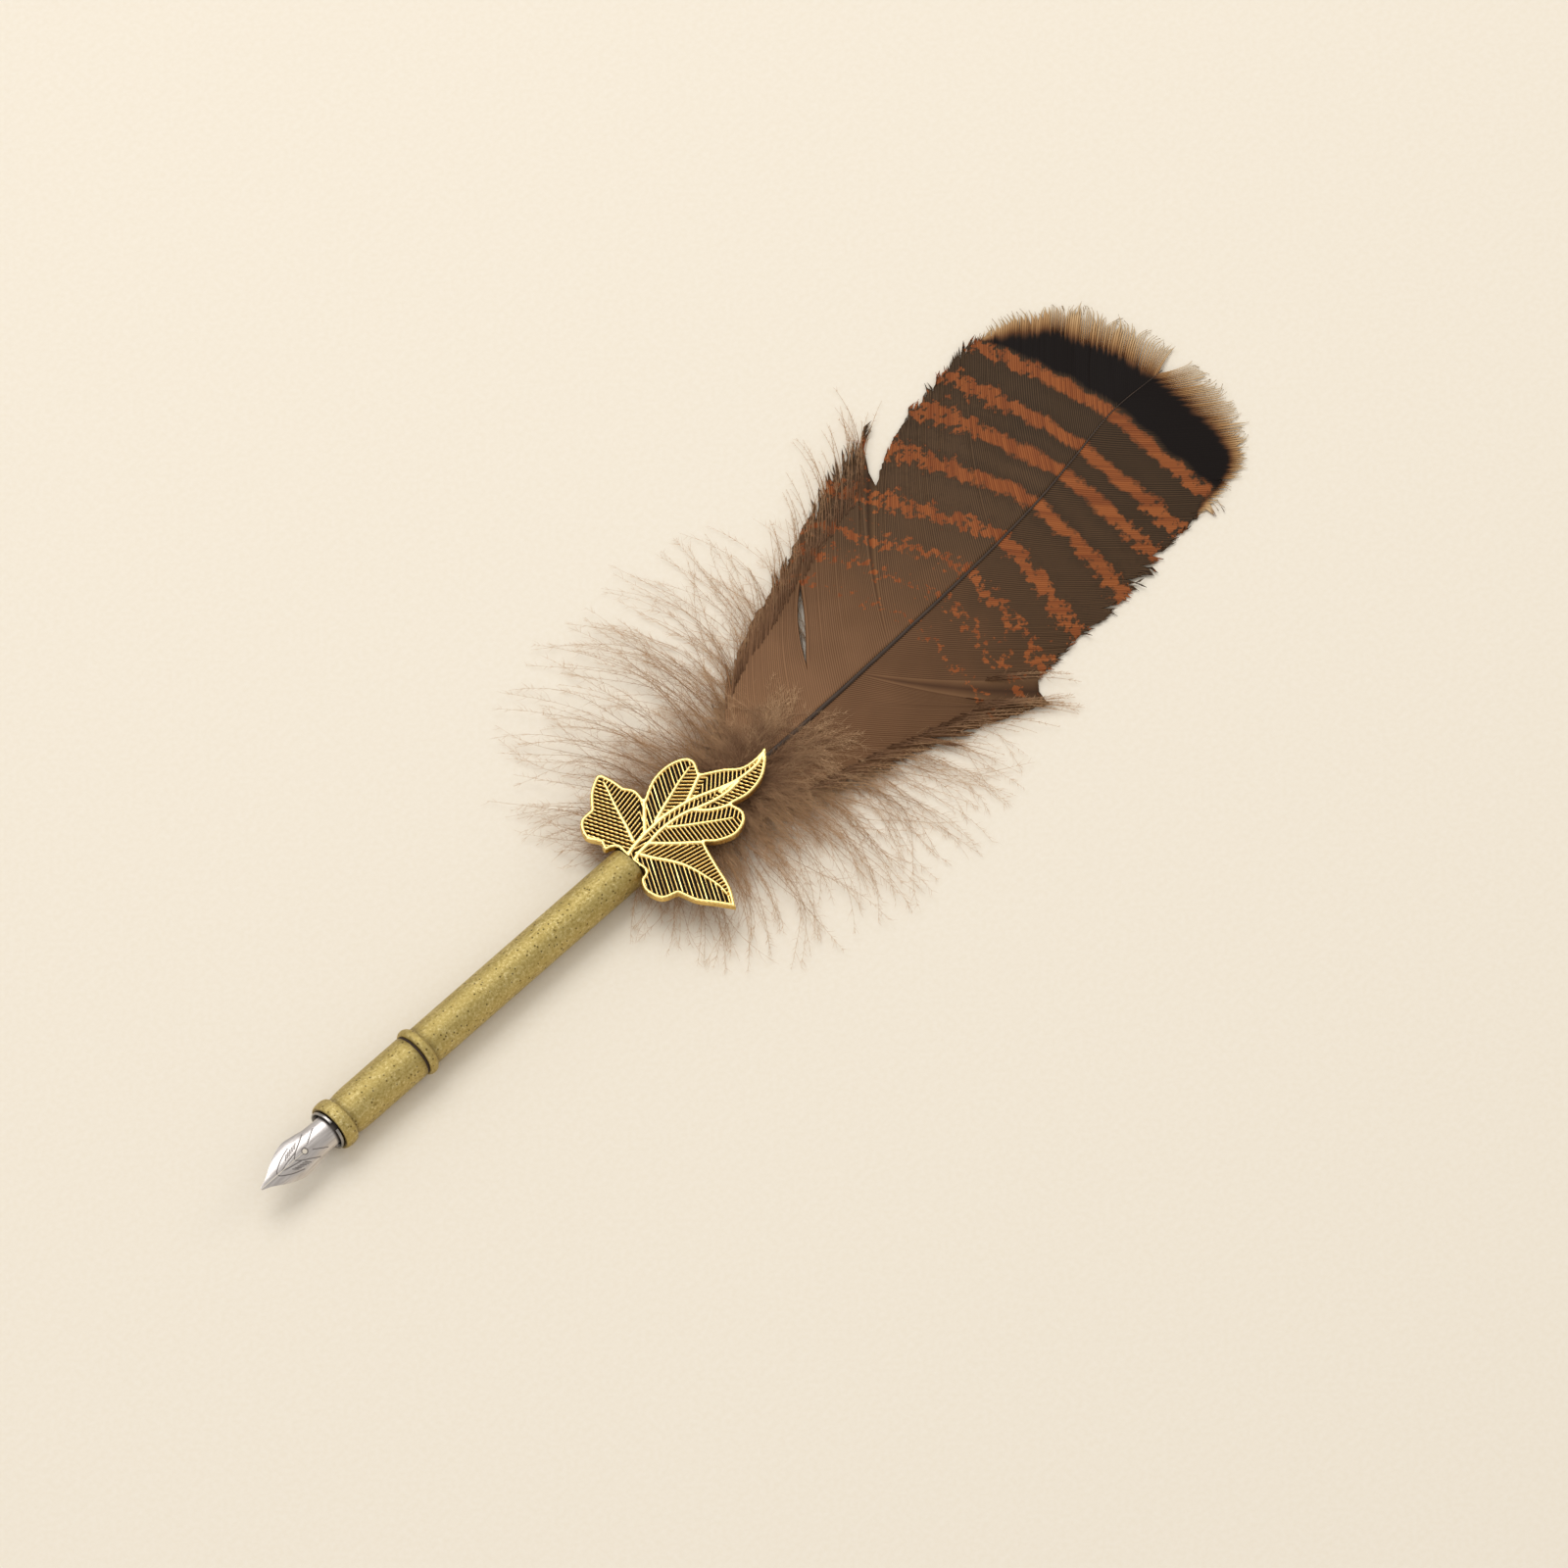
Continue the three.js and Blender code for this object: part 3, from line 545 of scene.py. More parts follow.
BARREL_RADIUS = 4.22
STUD_BORE = 3.0
STUD_SEAT = 4.25
barrel_front, barrel_back = mm_range("grip_barrel")
wall = [(barrel_front, 4.1), (barrel_front + 0.5, 3.99), (barrel_front + 1.1, 3.99),
        (barrel_front + 2, 4.14), (barrel_front + 4, BARREL_RADIUS)]
wall = np.vstack([spline(wall, 20), [(x, BARREL_RADIUS) for x in np.arange(barrel_front + 5,
                                                                          barrel_back - 0.5, 1.0)]])
end = rounded([(barrel_back, BARREL_RADIUS), (barrel_back, STUD_BORE),
               (barrel_back - STUD_SEAT, STUD_BORE), (barrel_back - STUD_SEAT, SOCKET_BORE),
               (barrel_front, SOCKET_BORE)], 0.25)
points, faces = lathe(np.vstack([wall, end]))
grip_barrel = make_piece("brass_grip_barrel", points, faces, antique_brass)
x = along_pen(grip_barrel)
crease = np.exp(-((x - barrel_front) / 0.9) ** 2) + np.exp(-((x - barrel_back) / 0.6) ** 2)
note(grip_barrel, "patina", np.clip(crease * 0.5, 0, 1))
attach(grip_barrel, "grip")
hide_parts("grip_barrel")


# Thread stud, seam washer and thread bush
# A brass stud in the back of the grip screws into a bush pressed into the stem, with a thin dark
# fibre washer between the two halves.

# Plain machined brass: yellower, with turning marks 0.3 mm apart round it.
turned_brass = new_material("turned_brass")
place = add(turned_brass, "TexCoord")
round_marks = add(turned_brass, "Mapping", {"Vector": place.outputs["Object"], "Scale": (1, 0.05, 0.05)})
tooling = add(turned_brass, "TexNoise", {"Vector": round_marks, "Scale": 1000 / 0.3, "Detail": 2.0})
turned_colour = add(turned_brass, "ValToRGB", {"Fac": tooling}, stops=[(0.3, "#b08d46"), (0.7, "#e2c27a")])
turned_roughness = add(turned_brass, "MapRange", {"Value": tooling, "To Min": 0.22, "To Max": 0.4})
turned_relief = add(turned_brass, "Bump", {"Height": tooling, "Strength": 0.2, "Distance": 0.0001})
turned_shader = add(turned_brass, "BsdfPrincipled", {"Base Color": turned_colour, "Metallic": 1.0,
                                                     "Roughness": turned_roughness,
                                                     "Normal": turned_relief})
add(turned_brass, "OutputMaterial", {"Surface": turned_shader})
refinish("thread_stud", turned_brass)
refinish("thread_bush", turned_brass)

# Vulcanised fibre: hard paper board, dark purple-brown, with flecks about 0.2 mm long.
fibre = new_material("vulcanised_fibre")
place = add(fibre, "TexCoord")
flecks = add(fibre, "TexNoise", {"Vector": place.outputs["Object"], "Scale": 1000 / 0.2, "Detail": 3.0})
fibre_colour = add(fibre, "ValToRGB", {"Fac": flecks}, stops=[(0.35, "#2a1b18"), (0.7, "#4c362e")])
fibre_relief = add(fibre, "Bump", {"Height": flecks, "Strength": 0.3, "Distance": 0.00005})
fibre_shader = add(fibre, "BsdfPrincipled", {"Base Color": fibre_colour, "Roughness": 0.75,
                                             "Normal": fibre_relief})
add(fibre, "OutputMaterial", {"Surface": fibre_shader})

WASHER_RADIUS = 4.08
WASHER_BORE = 3.1
washer_front, washer_back = mm_range("seam_washer")
points, faces = lathe(rounded([(washer_front, WASHER_RADIUS), (washer_back, WASHER_RADIUS),
                               (washer_back, WASHER_BORE), (washer_front, WASHER_BORE)], 0.06, steps=3),
                      sides=80)
seam_washer = make_piece("fibre_seam_washer", points, faces, fibre)
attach(seam_washer, "washer")
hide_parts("seam_washer")


# Stem tube, rear ring and glue
# The stem is a brass tube with the same tumbled skin, and a second half-round bead pressed on its
# front end. Its mouth holds the quill and the leaf's tang in a plug of clear glue.

stem_front, stem_back = mm_range("stem_tube")
TUBE_RADIUS = 3.95
TUBE_BORE = 3.5
REAR_RING_FLAT = 4.15
REAR_RING_DARK = 4.35
outer = [(x, TUBE_RADIUS) for x in np.linspace(stem_front, stem_back - 0.5, 50)]
mouth = rounded([(stem_back, TUBE_RADIUS), (stem_back, TUBE_BORE)], 0.22)
points, faces = lathe(np.vstack([outer, mouth, [(stem_front, TUBE_BORE)]]))
stem_tube = make_piece("brass_stem_tube", points, faces, antique_brass)
x = along_pen(stem_tube)
crease = np.exp(-((x - stem_front - 2) / 0.7) ** 2) + 0.6 * np.exp(-((x - stem_back) / 0.5) ** 2)
note(stem_tube, "patina", np.clip(crease * 0.5, 0, 1))
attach(stem_tube, "stem")
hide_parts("stem_tube")

ring_front, ring_back = mm_range("rear_ring")
points, faces = lathe(bead_profile(ring_front, ring_back - ring_front, TUBE_RADIUS + 0.05,
                                   REAR_RING_FLAT, BEAD_RADIUS))
rear_ring = make_piece("brass_rear_ring", points, faces, antique_brass)
radius = np.hypot(points[:, 1], points[:, 2])
note(rear_ring, "patina", np.clip((REAR_RING_DARK - radius) / PATINA_FADE, 0, PATINA_MOST))
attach(rear_ring, "stem")
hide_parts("rear_ring")

# Cured hot glue: clear amber and glossy, cloudy with bubbles about 0.5 mm across.
glue = new_material("cured_clear_glue")
place = add(glue, "TexCoord")
bubbles = add(glue, "TexVoronoi", {"Vector": place.outputs["Object"], "Scale": 1000 / 0.5})
glue_colour = add(glue, "ValToRGB", {"Fac": bubbles}, stops=[(0.1, "#d9c9a4"), (0.6, "#a88c58")])
glue_relief = add(glue, "Bump", {"Height": bubbles, "Strength": 0.2, "Distance": 0.0001})
glue_shader = add(glue, "BsdfPrincipled", {"Base Color": glue_colour, "Roughness": 0.18,
                                           "Transmission Weight": 0.35, "IOR": 1.48,
                                           "Normal": glue_relief})
add(glue, "OutputMaterial", {"Surface": glue_shader})

# The plug fills the mouth with a dished face that creeps up the tube's wall.
glue_front, glue_back = mm_range("glue_plug")
GLUE_GAP = 0.06
face_radius = np.linspace(TUBE_BORE - GLUE_GAP, 0.02, 14)
dish = np.column_stack([glue_back - 0.5 + 0.9 * (face_radius / TUBE_BORE) ** 3, face_radius])
points, faces = lathe(np.vstack([[(glue_front, 0.02), (glue_front, TUBE_BORE - GLUE_GAP)], dish]), sides=64)
glue_plug = make_piece("glue_meniscus", points, faces, glue)
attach(glue_plug, "stem")
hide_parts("glue_plug")


# Leaf ornament
# A maple-like leaf cast in brass, gilt, blackened in its hollows and rubbed bright on its
# raised veins and ribs. Its tang is glued into the stem's mouth, over the quill.

LEAF_UNDERSIDE = 1.4
LEAF_FLOOR = 1.95
LEAF_RELIEF = 0.62
RIM_WIDTH = 0.68
RIB_SPACING = 0.76
RIB_RELIEF = 0.56
LEAF_GRAIN = 0.115
TANG_START = 83.85
TANG_END = 95.2
TANG_HALF = 1.45

# The edge, clockwise from the stem, as smooth stretches that meet at notches and points.
LEAF_EDGE = [
    [(95.2, 1.6), (95.3, 3.3), (94.5, 4.1), (93.3, 4.7), (93.9, 6.3)],
    [(93.9, 6.3), (92.7, 9), (94.4, 12), (97.5, 12.4)],
    [(97.5, 12.4), (100, 15), (103, 16.6), (104.1, 16.3)],
    [(104.1, 16.3), (104.7, 13.8), (104.9, 11.5)],
    [(104.9, 11.5), (106, 9.6), (105.7, 7)],
    [(105.7, 7), (109.8, 8.9), (113.8, 9.2), (117, 8.1), (117.9, 6.3), (116.7, 3.7)],
    [(116.7, 3.7), (120.4, 1.4), (123, -0.7), (126, -1.2), (129, -0.9)],
    [(129, -0.9), (127.2, -2.9), (124, -5), (120, -5.7), (116.2, -4.9)],
    [(116.2, -4.9), (116.6, -7.4), (115.2, -9.2), (112.2, -10), (109, -8.8), (107, -7)],
    [(107, -7), (106.2, -9), (105, -12.6), (103.6, -16.9), (101.3, -20.6)],
    [(101.3, -20.6), (99.3, -17.6), (97.2, -14.6), (96.1, -11.2)],
    [(96.1, -11.2), (93.2, -9.9), (92.3, -6.8), (93.3, -4.6), (94.6, -4.1), (95.3, -3.4), (95.2, -1.6)],
]

# The midrib is a pair of ridges with a groove between them, which join towards the leaf's point.
MIDRIB_LEFT = [(84, 0.55), (94, 0.75), (97, 1.4), (100, 1.8), (103, 2.0), (106, 2.0), (109, 1.55),
               (112, 0.9), (115, -0.2), (118, -1.35), (121, -2.15), (125.5, -2.3), (128.6, -1.2)]
MIDRIB_RIGHT = [(84, -0.55), (94, -0.8), (97, -0.2), (100, 0.05), (103, 0.4), (106, 0.3), (109, -0.2),
                (112, -1.3), (115, -2.2), (118, -2.6), (120.5, -2.45)]

# Each lobe's vein with its widths, and the directions of its ribs left and right of it, in degrees.
LOBES = [
    ([(98.2, 2.4), (99.5, 5.4), (100.6, 8.4), (101.6, 10.9), (102.6, 13.2), (103.2, 14.8)],
     0.62, 0.36, 114, 10),
    ([(104, 2.4), (107, 3.4), (110, 4.3), (113, 5.2), (116.4, 6.0)], 0.62, 0.34, 60, -45),
    ([(104.7, -0.2), (107, -2.0), (109.5, -3.8), (112, -5.6), (114.2, -7.1)], 0.52, 0.34, 34, 78),
    ([(97.2, -0.8), (98.3, -2.9), (99.6, -4.9), (100.8, -7.1), (101.6, -9.6), (102.1, -12.6),
      (102.4, -15.6), (102.1, -17.6)], 0.58, 0.34, -13, 60),
    ([(117, -1.7), (121, -2.15), (125.5, -2.3), (128, -1.5)], 0.6, 0.3, 42, -65),
]
# Where two lobes meet, a plain vein runs out to the notch between them.
LOBE_JOINS = [[(101, 2.2), (105.7, 7)], [(111, 1.3), (113.5, 2.3), (116.7, 3.7)],
              [(110.3, -0.6), (112, -2.5), (114, -3.9), (116.2, -4.9)],
              [(100, -0.2), (103, -3.3), (107, -7)]]

outline = np.vstack([spline(stretch, max(8, int(len(stretch) * 16)))[:-1] for stretch in LEAF_EDGE]
                    + [[(TANG_END, -1.2), (TANG_START, -1.2), (TANG_START, 1.4), (TANG_END, 1.4)]])
closed = np.vstack([outline, outline[:1]])


def inside(points, line):
    """Which points lie within a closed line."""
    crossings = np.zeros(len(points), int)
    for (x0, y0), (x1, y1) in zip(line, line[1:]):
        spans = (points[:, 1] < y0) != (points[:, 1] < y1)
        if y0 != y1:
            crossings += spans & (points[:, 0] < x0 + (points[:, 1] - y0) * (x1 - x0) / (y1 - y0))
    return crossings % 2 == 1


gx, gy = np.meshgrid(np.arange(91.8, 129.6, LEAF_GRAIN), np.arange(-21, 17, LEAF_GRAIN * 0.87))
gx[1::2] += LEAF_GRAIN / 2
grid = np.column_stack([gx.ravel(), gy.ravel()])
grid = grid[inside(grid, closed)]
grid = grid[distance_to(closed, grid)[0] > 0.06]
flat = np.vstack([outline, grid])
loop = list(range(len(outline)))
made, _, triangles, sources, _, _ = flat_geometry.delaunay_2d_cdt(
    [Vector(p) for p in flat], [], [loop], 1, 1e-5)
made = np.array(made)
triangles = [tuple(t) for t in triangles]
rim_index = {source: k for k, found in enumerate(sources) for source in found if source < len(outline)}


def raised(away, half, sharpness=4):
    """A ridge's height share at a distance from its middle: round-shouldered, flat on top."""
    return np.clip(1 - (away / half) ** sharpness, 0, 1)


rim_away = distance_to(closed, made)[0]
tang = (made[:, 0] < TANG_END) & (np.abs(made[:, 1]) < TANG_HALF)
relief = raised(np.abs(rim_away - 0.3), RIM_WIDTH * 0.62) * ~tang
for line in (MIDRIB_LEFT, MIDRIB_RIGHT):
    away, share, _ = distance_to(spline(line, 60), made)
    relief = np.maximum(relief, raised(away, 0.64 - 0.14 * share))
lobe_away = np.full(len(made), 1e9)
ribs = np.zeros(len(made))
left_of_midrib = distance_to(spline(MIDRIB_LEFT, 60), made)[2] > 0
for k, (vein, start_width, end_width, left_ribs, right_ribs) in enumerate(LOBES):
    away, share, side = distance_to(spline(vein, 40), made)
    relief = np.maximum(relief, raised(away, (start_width + (end_width - start_width) * share) * 0.95))
    wrong_half = {0: ~left_of_midrib, 1: ~left_of_midrib, 2: left_of_midrib, 3: left_of_midrib}.get(k)
    ranked = away if wrong_half is None else away + 50 * wrong_half
    mine = ranked < lobe_away
    angle = np.radians(np.where(side > 0, left_ribs, right_ribs))
    crosswise = made[:, 1] * np.cos(angle) - made[:, 0] * np.sin(angle)
    rib = np.clip(np.cos(2 * math.pi * crosswise / RIB_SPACING) + 0.3, 0, 1) ** 0.8
    ribs[mine] = rib[mine]
    lobe_away[mine] = ranked[mine]
for line in LOBE_JOINS:
    relief = np.maximum(relief, raised(distance_to(spline(line, 24), made)[0], 0.54))
relief = np.maximum(relief, ribs * RIB_RELIEF / LEAF_RELIEF * ~tang)
height = LEAF_FLOOR + LEAF_RELIEF * relief
height[tang] = LEAF_FLOOR + 0.45 * relief[tang]

# The cast wall leans out a little towards the back, so that the leaf leaves its mould.
outward = np.roll(outline, -1, axis=0) - np.roll(outline, 1, axis=0)
outward = np.column_stack([-outward[:, 1], outward[:, 0]])
outward /= np.linalg.norm(outward, axis=1)[:, None]
back = np.column_stack([outline + 0.1 * outward, np.full(len(outline), LEAF_UNDERSIDE)])
points = np.vstack([np.column_stack([made, height]), back])
first_back = len(made)
count = len(outline)
walls = [(rim_index[k], first_back + k, first_back + (k + 1) % count, rim_index[(k + 1) % count])
         for k in range(count)]
leaf_faces = triangles + walls + [tuple(range(first_back, first_back + count))]

# Antiqued gilding: a bright warm gold where it is rubbed, running to a near-black brown in the
# hollows, with a fine casting grain about 0.25 mm across.
leaf_gold = new_material("antiqued_gilding")
place = add(leaf_gold, "TexCoord")
casting = add(leaf_gold, "TexNoise", {"Vector": place.outputs["Object"], "Scale": 1000 / 0.25,
                                      "Detail": 3.0})
wear = add(leaf_gold, "TexNoise", {"Vector": place.outputs["Object"], "Scale": 1000 / 3})
relief_share = add(leaf_gold, "Attribute", attribute_name="relief")
uneven = add(leaf_gold, "MapRange", {"Value": wear, "To Min": -0.16, "To Max": 0.16})
rubbed_share = add(leaf_gold, "Math", {0: relief_share.outputs["Fac"], 1: uneven}, operation="ADD")
gilding = add(leaf_gold, "ValToRGB", {"Fac": rubbed_share}, stops=[
    (0.2, "#120a02"), (0.4, "#6f4e1a"), (0.6, "#c69c4a"), (0.88, "#ecce82")])
gilding_roughness = add(leaf_gold, "ValToRGB", {"Fac": rubbed_share}, stops=[
    (0.2, "#f0f0f0"), (0.6, "#8a8a8a")])
gilding_metal = add(leaf_gold, "MapRange", {"Value": rubbed_share, "From Min": 0.1, "From Max": 0.45,
                                            "To Min": 0.2, "To Max": 1.0})
gilding_relief = add(leaf_gold, "Bump", {"Height": casting, "Strength": 0.15, "Distance": 0.0001})
gilding_shader = add(leaf_gold, "BsdfPrincipled", {"Base Color": gilding, "Metallic": gilding_metal,
                                                   "Roughness": gilding_roughness,
                                                   "Normal": gilding_relief})
add(leaf_gold, "OutputMaterial", {"Surface": gilding_shader})

leaf = make_piece("gilt_leaf_ornament", points, leaf_faces, leaf_gold, crease=60)
note(leaf, "relief", np.concatenate([relief, np.full(count, 0.75)]))
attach(leaf, "stem")
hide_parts("leaf_ornament")


# Quill
# The feather's shaft: a hollow horny quill up to the first barbs, then a solid pith-filled shaft
# that thins to a hair at the tip. It is glued into the stem's mouth, under the leaf.

VANE_END = 240
QUILL_START, QUILL_END = mm_range("calamus")
SHAFT_POINTS = [(QUILL_START, 0, -1.2), (100, 0, -1.2), (126, -0.8, -1.4), (150, -0.6, -1.7),
                (182, 0.6, -2.2), (202, 2.2, -2.6), (215, 4.2, -2.9), (228, 6.4, -3.2),
                (VANE_END, 6.2, -3.5)]
SHAFT_RADII = [(QUILL_START, 0.9), (86, 1.35), (108, 1.3), (122, 0.7), (135, 0.5), (150, 0.44),
               (180, 0.34), (220, 0.2), (VANE_END + 1, 0.08)]
shaft_line = spline(SHAFT_POINTS, 500)


def shaft_at(x):
    """The shaft's middle at places along the pen."""
    return np.column_stack([x, np.interp(x, shaft_line[:, 0], shaft_line[:, 1]),
                            np.interp(x, shaft_line[:, 0], shaft_line[:, 2])])


def rod(centres, radii, sides=16):
    """A closed round rod along a line that runs along the pen, grooved along its underside."""
    a = np.linspace(0, 2 * math.pi, sides, endpoint=False)
    grooved = 1 - 0.25 * np.exp(-((a - 1.5 * math.pi) / 0.35) ** 2)
    ring_y = centres[:, 1:2] + radii[:, None] * grooved * np.cos(a)
    ring_z = centres[:, 2:3] + radii[:, None] * grooved * np.sin(a)
    ring_x = np.broadcast_to(centres[:, :1], ring_y.shape)
    points = np.stack([ring_x, ring_y, ring_z], axis=-1).reshape(-1, 3)
    faces = [(i * sides + j, i * sides + (j + 1) % sides, (i + 1) * sides + (j + 1) % sides,
              (i + 1) * sides + j) for i in range(len(centres) - 1) for j in range(sides)]
    last = (len(centres) - 1) * sides
    return points, faces + [tuple(range(sides - 1, -1, -1)), tuple(range(last, last + sides))]


# Dark horn: grey-brown keratin, semi-gloss, with lengthwise fibres 0.15 mm apart.
horn = new_material("dark_keratin")
place = add(horn, "TexCoord")
fibres = add(horn, "Mapping", {"Vector": place.outputs["Object"], "Scale": (0.04, 1, 1)})
fibre_lines = add(horn, "TexNoise", {"Vector": fibres, "Scale": 1000 / 0.15, "Detail": 2.0})
horn_colour = add(horn, "ValToRGB", {"Fac": fibre_lines}, stops=[(0.3, "#2a1e16"), (0.7, "#4a392c")])
horn_relief = add(horn, "Bump", {"Height": fibre_lines, "Strength": 0.2, "Distance": 0.00008})
horn_shader = add(horn, "BsdfPrincipled", {"Base Color": horn_colour, "Roughness": 0.5,
                                           "Specular IOR Level": 0.3,
                                           "Normal": horn_relief})
add(horn, "OutputMaterial", {"Surface": horn_shader})

for name, node, start, end in (("horn_quill", "calamus", QUILL_START, QUILL_END),
                               ("horn_shaft", "rachis", QUILL_END + 0.05, VANE_END + 1)):
    x = np.linspace(start, end, 24 if node == "calamus" else 130)
    points, faces = rod(shaft_at(x), np.interp(x, *np.array(SHAFT_RADII).T))
    shaft = make_piece(name, points, faces, horn, crease=50)
    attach(shaft, "stem")
    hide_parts(node)


# Vanes
# The two webs of the feather: keratin barbs hooked to their neighbours most of the way and free at
# the ends, brown with rust-red bars, a black band, and a pale tip whose bare barbs let the table show.

BARBS = 230
BARB_STEPS = 44
VANE_START = 119
CLUMP = 5
FRAY = 0.8
FLOOR_Z = -AXIS.z * 1000
VANE_REST = 0.3
VANE_CAMBER = 1.8
# Each web's outer edge, in stretches: the last root that reaches it, and its points.
LEFT_EDGE = [
    (162.4, [(126, 9), (137, 16.5), (149, 22.8), (160, 26.5), (175, 32), (187, 35.8), (194.5, 37.6)]),
    (VANE_END, [(189.5, 29), (199, 33.2), (206, 34.4), (215, 36), (220, 36.6), (226, 35.6), (233, 33.6),
                (239, 29.8), (243.4, 23), (245.8, 14.5), (246.5, 6.5)]),
]
RIGHT_EDGE = [
    (154, [(126, -10), (136, -14.5), (146, -17.5), (154, -20), (162, -23.5), (168, -26), (174.5, -28.5)]),
    (VANE_END, [(176.4, -24), (188, -23.2), (198, -23.4), (218, -21), (229, -20.4), (237, -18.8),
                (243, -13.5), (246.6, -6), (247, 4.5)]),
]


def web(edge, start, end, barbs, seed, joined, clump, fray, chord):
    """The barbs of one web, from the shaft out to an edge. joined(u) is how far out, as a share of
    its length, a barb at u along the web holds to the next, clump the mean number of barbs that
    stay together past that, fray how far free ends stray, in millimetres, and chord the barbs'
    slope from the shaft, as places along the pen and degrees."""
    random = np.random.default_rng(seed)
    side = np.sign(edge[0][1][0][1])
    u = (np.arange(barbs) + 0.5) / barbs
    roots = shaft_at(start + (end - start) * u)
    roots[:, 1] += side * np.interp(roots[:, 0], *np.array(SHAFT_RADII).T) * 0.6
    slopes = np.radians(np.interp(roots[:, 0], *np.array(chord).T))
    tips = np.empty((barbs, 2))
    for i, (root, slope) in enumerate(zip(roots, slopes)):
        stretch = next(points for last, points in edge if root[0] <= last)
        line = spline(stretch, 240)
        ray = np.arctan2(side * (line[:, 1] - root[1]), line[:, 0] - root[0])
        tips[i] = [np.interp(-slope, -ray, axis) for axis in line.T]
    t = np.linspace(0, 1, BARB_STEPS + 1)
    run = tips - roots[:, :2]
    length = np.linalg.norm(run, axis=1)
    backward = np.column_stack([-side * run[:, 1], side * run[:, 0]]) / length[:, None]
    control = (roots[:, :2] + tips) / 2 + backward * (0.08 * length)[:, None]
    # Where each barb lets go of the next one, and how uneven the barbs are in length.
    borders = random.random(barbs) < 1 / clump
    notch = int(np.sum(roots[:, 0] <= edge[0][0])) - 1
    borders[notch - 4:notch + 5] = False
    hold = np.array([joined(value) for value in u])
    early = hold - random.exponential(0.25, barbs) * (1 - hold)
    release = np.where(borders, early, hold + (1 - hold) * 0.7)
    release = np.clip(release + random.normal(0, 0.01, barbs), 0.05, 0.985)
    release[notch] = hold[notch]
    borders[notch] = True
    bare = np.clip((roots[:, 0] - 205) / 25, 0, 1)
    uneven = random.normal(0, 0.012, barbs) - (1 - hold) * random.random(barbs) * 0.25
    uneven -= bare * random.random(barbs) ** 2 * 0.07
    share = (t * (1 + uneven)[:, None])[..., None]
    path = ((1 - share) ** 2 * roots[:, None, :2] + 2 * share * (1 - share) * control[:, None]
            + share ** 2 * tips[:, None])
    # A whole clump strays together once it is free.
    group = np.cumsum(np.concatenate([[0], borders[:-1]]))
    stray = random.normal(0, fray, group[-1] + 1)[group] + random.normal(0, fray * 0.3, barbs)
    lift = np.abs(random.normal(0, fray, group[-1] + 1))[group] * 0.6
    free_from = np.minimum(release, np.concatenate([release[:1], release[:-1]]))
    loose = np.clip((t - free_from[:, None]) / (1 - free_from[:, None]), 0, 1)
    normal = np.gradient(path, axis=1)[..., ::-1] * (-1, 1)
    normal /= np.linalg.norm(normal, axis=2)[..., None]
    path = path + normal * (stray[:, None] * loose ** 1.6)[..., None]
    rest = FLOOR_Z + VANE_REST
    z = roots[:, 2:] + (rest - roots[:, 2:]) * t ** VANE_CAMBER
    wave = 0.25 * np.sin(u * 37 + seed)[:, None] * t * (1 - t) * 4
    z = np.maximum(z + wave + lift[:, None] * loose ** 2, rest)
    return {"path": path, "z": z, "normal": normal, "loose": loose, "release": release,
            "random": random, "side": side, "thin": np.ones_like(z)}


def weave(barbs):
    """Turns the barbs of a web into one ridged sheet that parts where neighbours let go. It returns
    points, faces, and each point's barb and whether it is on an edge, 0 or 2, or on the ridge, 1."""
    path, z, normal = barbs["path"], barbs["z"], barbs["normal"]
    count, steps = z.shape
    spacing = np.linalg.norm(np.diff(path, axis=0), axis=2)
    spacing = np.vstack([spacing, spacing[-1:]])
    half = np.minimum(spacing, np.vstack([spacing[:1], spacing[:-1]])) / 2
    half = np.minimum(half, 0.42) * (1 - 0.7 * barbs["loose"]) * barbs["thin"]
    half[:, -1] = 0.01
    ridge = np.dstack([path, z + np.clip(half, 0, 0.3) * 0.5])
    edges = [np.dstack([path + hand * normal * half[..., None], z - 0.02]) for hand in (-1, 1)]
    low_edge, high_edge = edges if barbs["side"] > 0 else edges[::-1]
    # The edge towards the quill comes first. A held edge is shared with the barb before.
    held = np.arange(steps) / (steps - 1) <= barbs["release"][:-1, None]
    held &= ~barbs.get("parted", np.zeros_like(held)) & (barbs["thin"][:-1] > 0.99)
    towards_tip, towards_quill = low_edge, high_edge
    shared = (towards_tip[:-1] + towards_quill[1:]) / 2
    towards_tip[:-1][held] = shared[held]
    points = np.stack([towards_quill, ridge, towards_tip], axis=2)
    index = np.arange(count * steps * 3).reshape(count, steps, 3)
    index[1:, :, 0][held] = index[:-1, :, 2][held]
    faces = []
    for a in (0, 1):
        quads = np.stack([index[:, :-1, a], index[:, 1:, a], index[:, 1:, a + 1], index[:, :-1, a + 1]],
                         axis=-1).reshape(-1, 4)
        faces.append(quads if barbs["side"] < 0 else quads[:, ::-1])
    faces = np.vstack(faces)
    used, compact = np.unique(faces, return_inverse=True)
    return points.reshape(-1, 3)[used], compact.reshape(faces.shape).tolist(), used // 3 // steps, used % 3


def tip_inset(points, edge):
    """How far inside the feather's rounded tip each point lies, in millimetres, scaled so that the
    bare tip thins out towards both of its ends."""
    tip_edge = np.array([p for p in spline(edge[-1][1], 200) if p[0] > 224])
    taper = np.interp(points[:, 1], [-19, -12, -4, 22, 29, 34], [0.2, 0.6, 1, 1, 0.65, 0.25])
    return distance_to(tip_edge[::6], points)[0] / taper


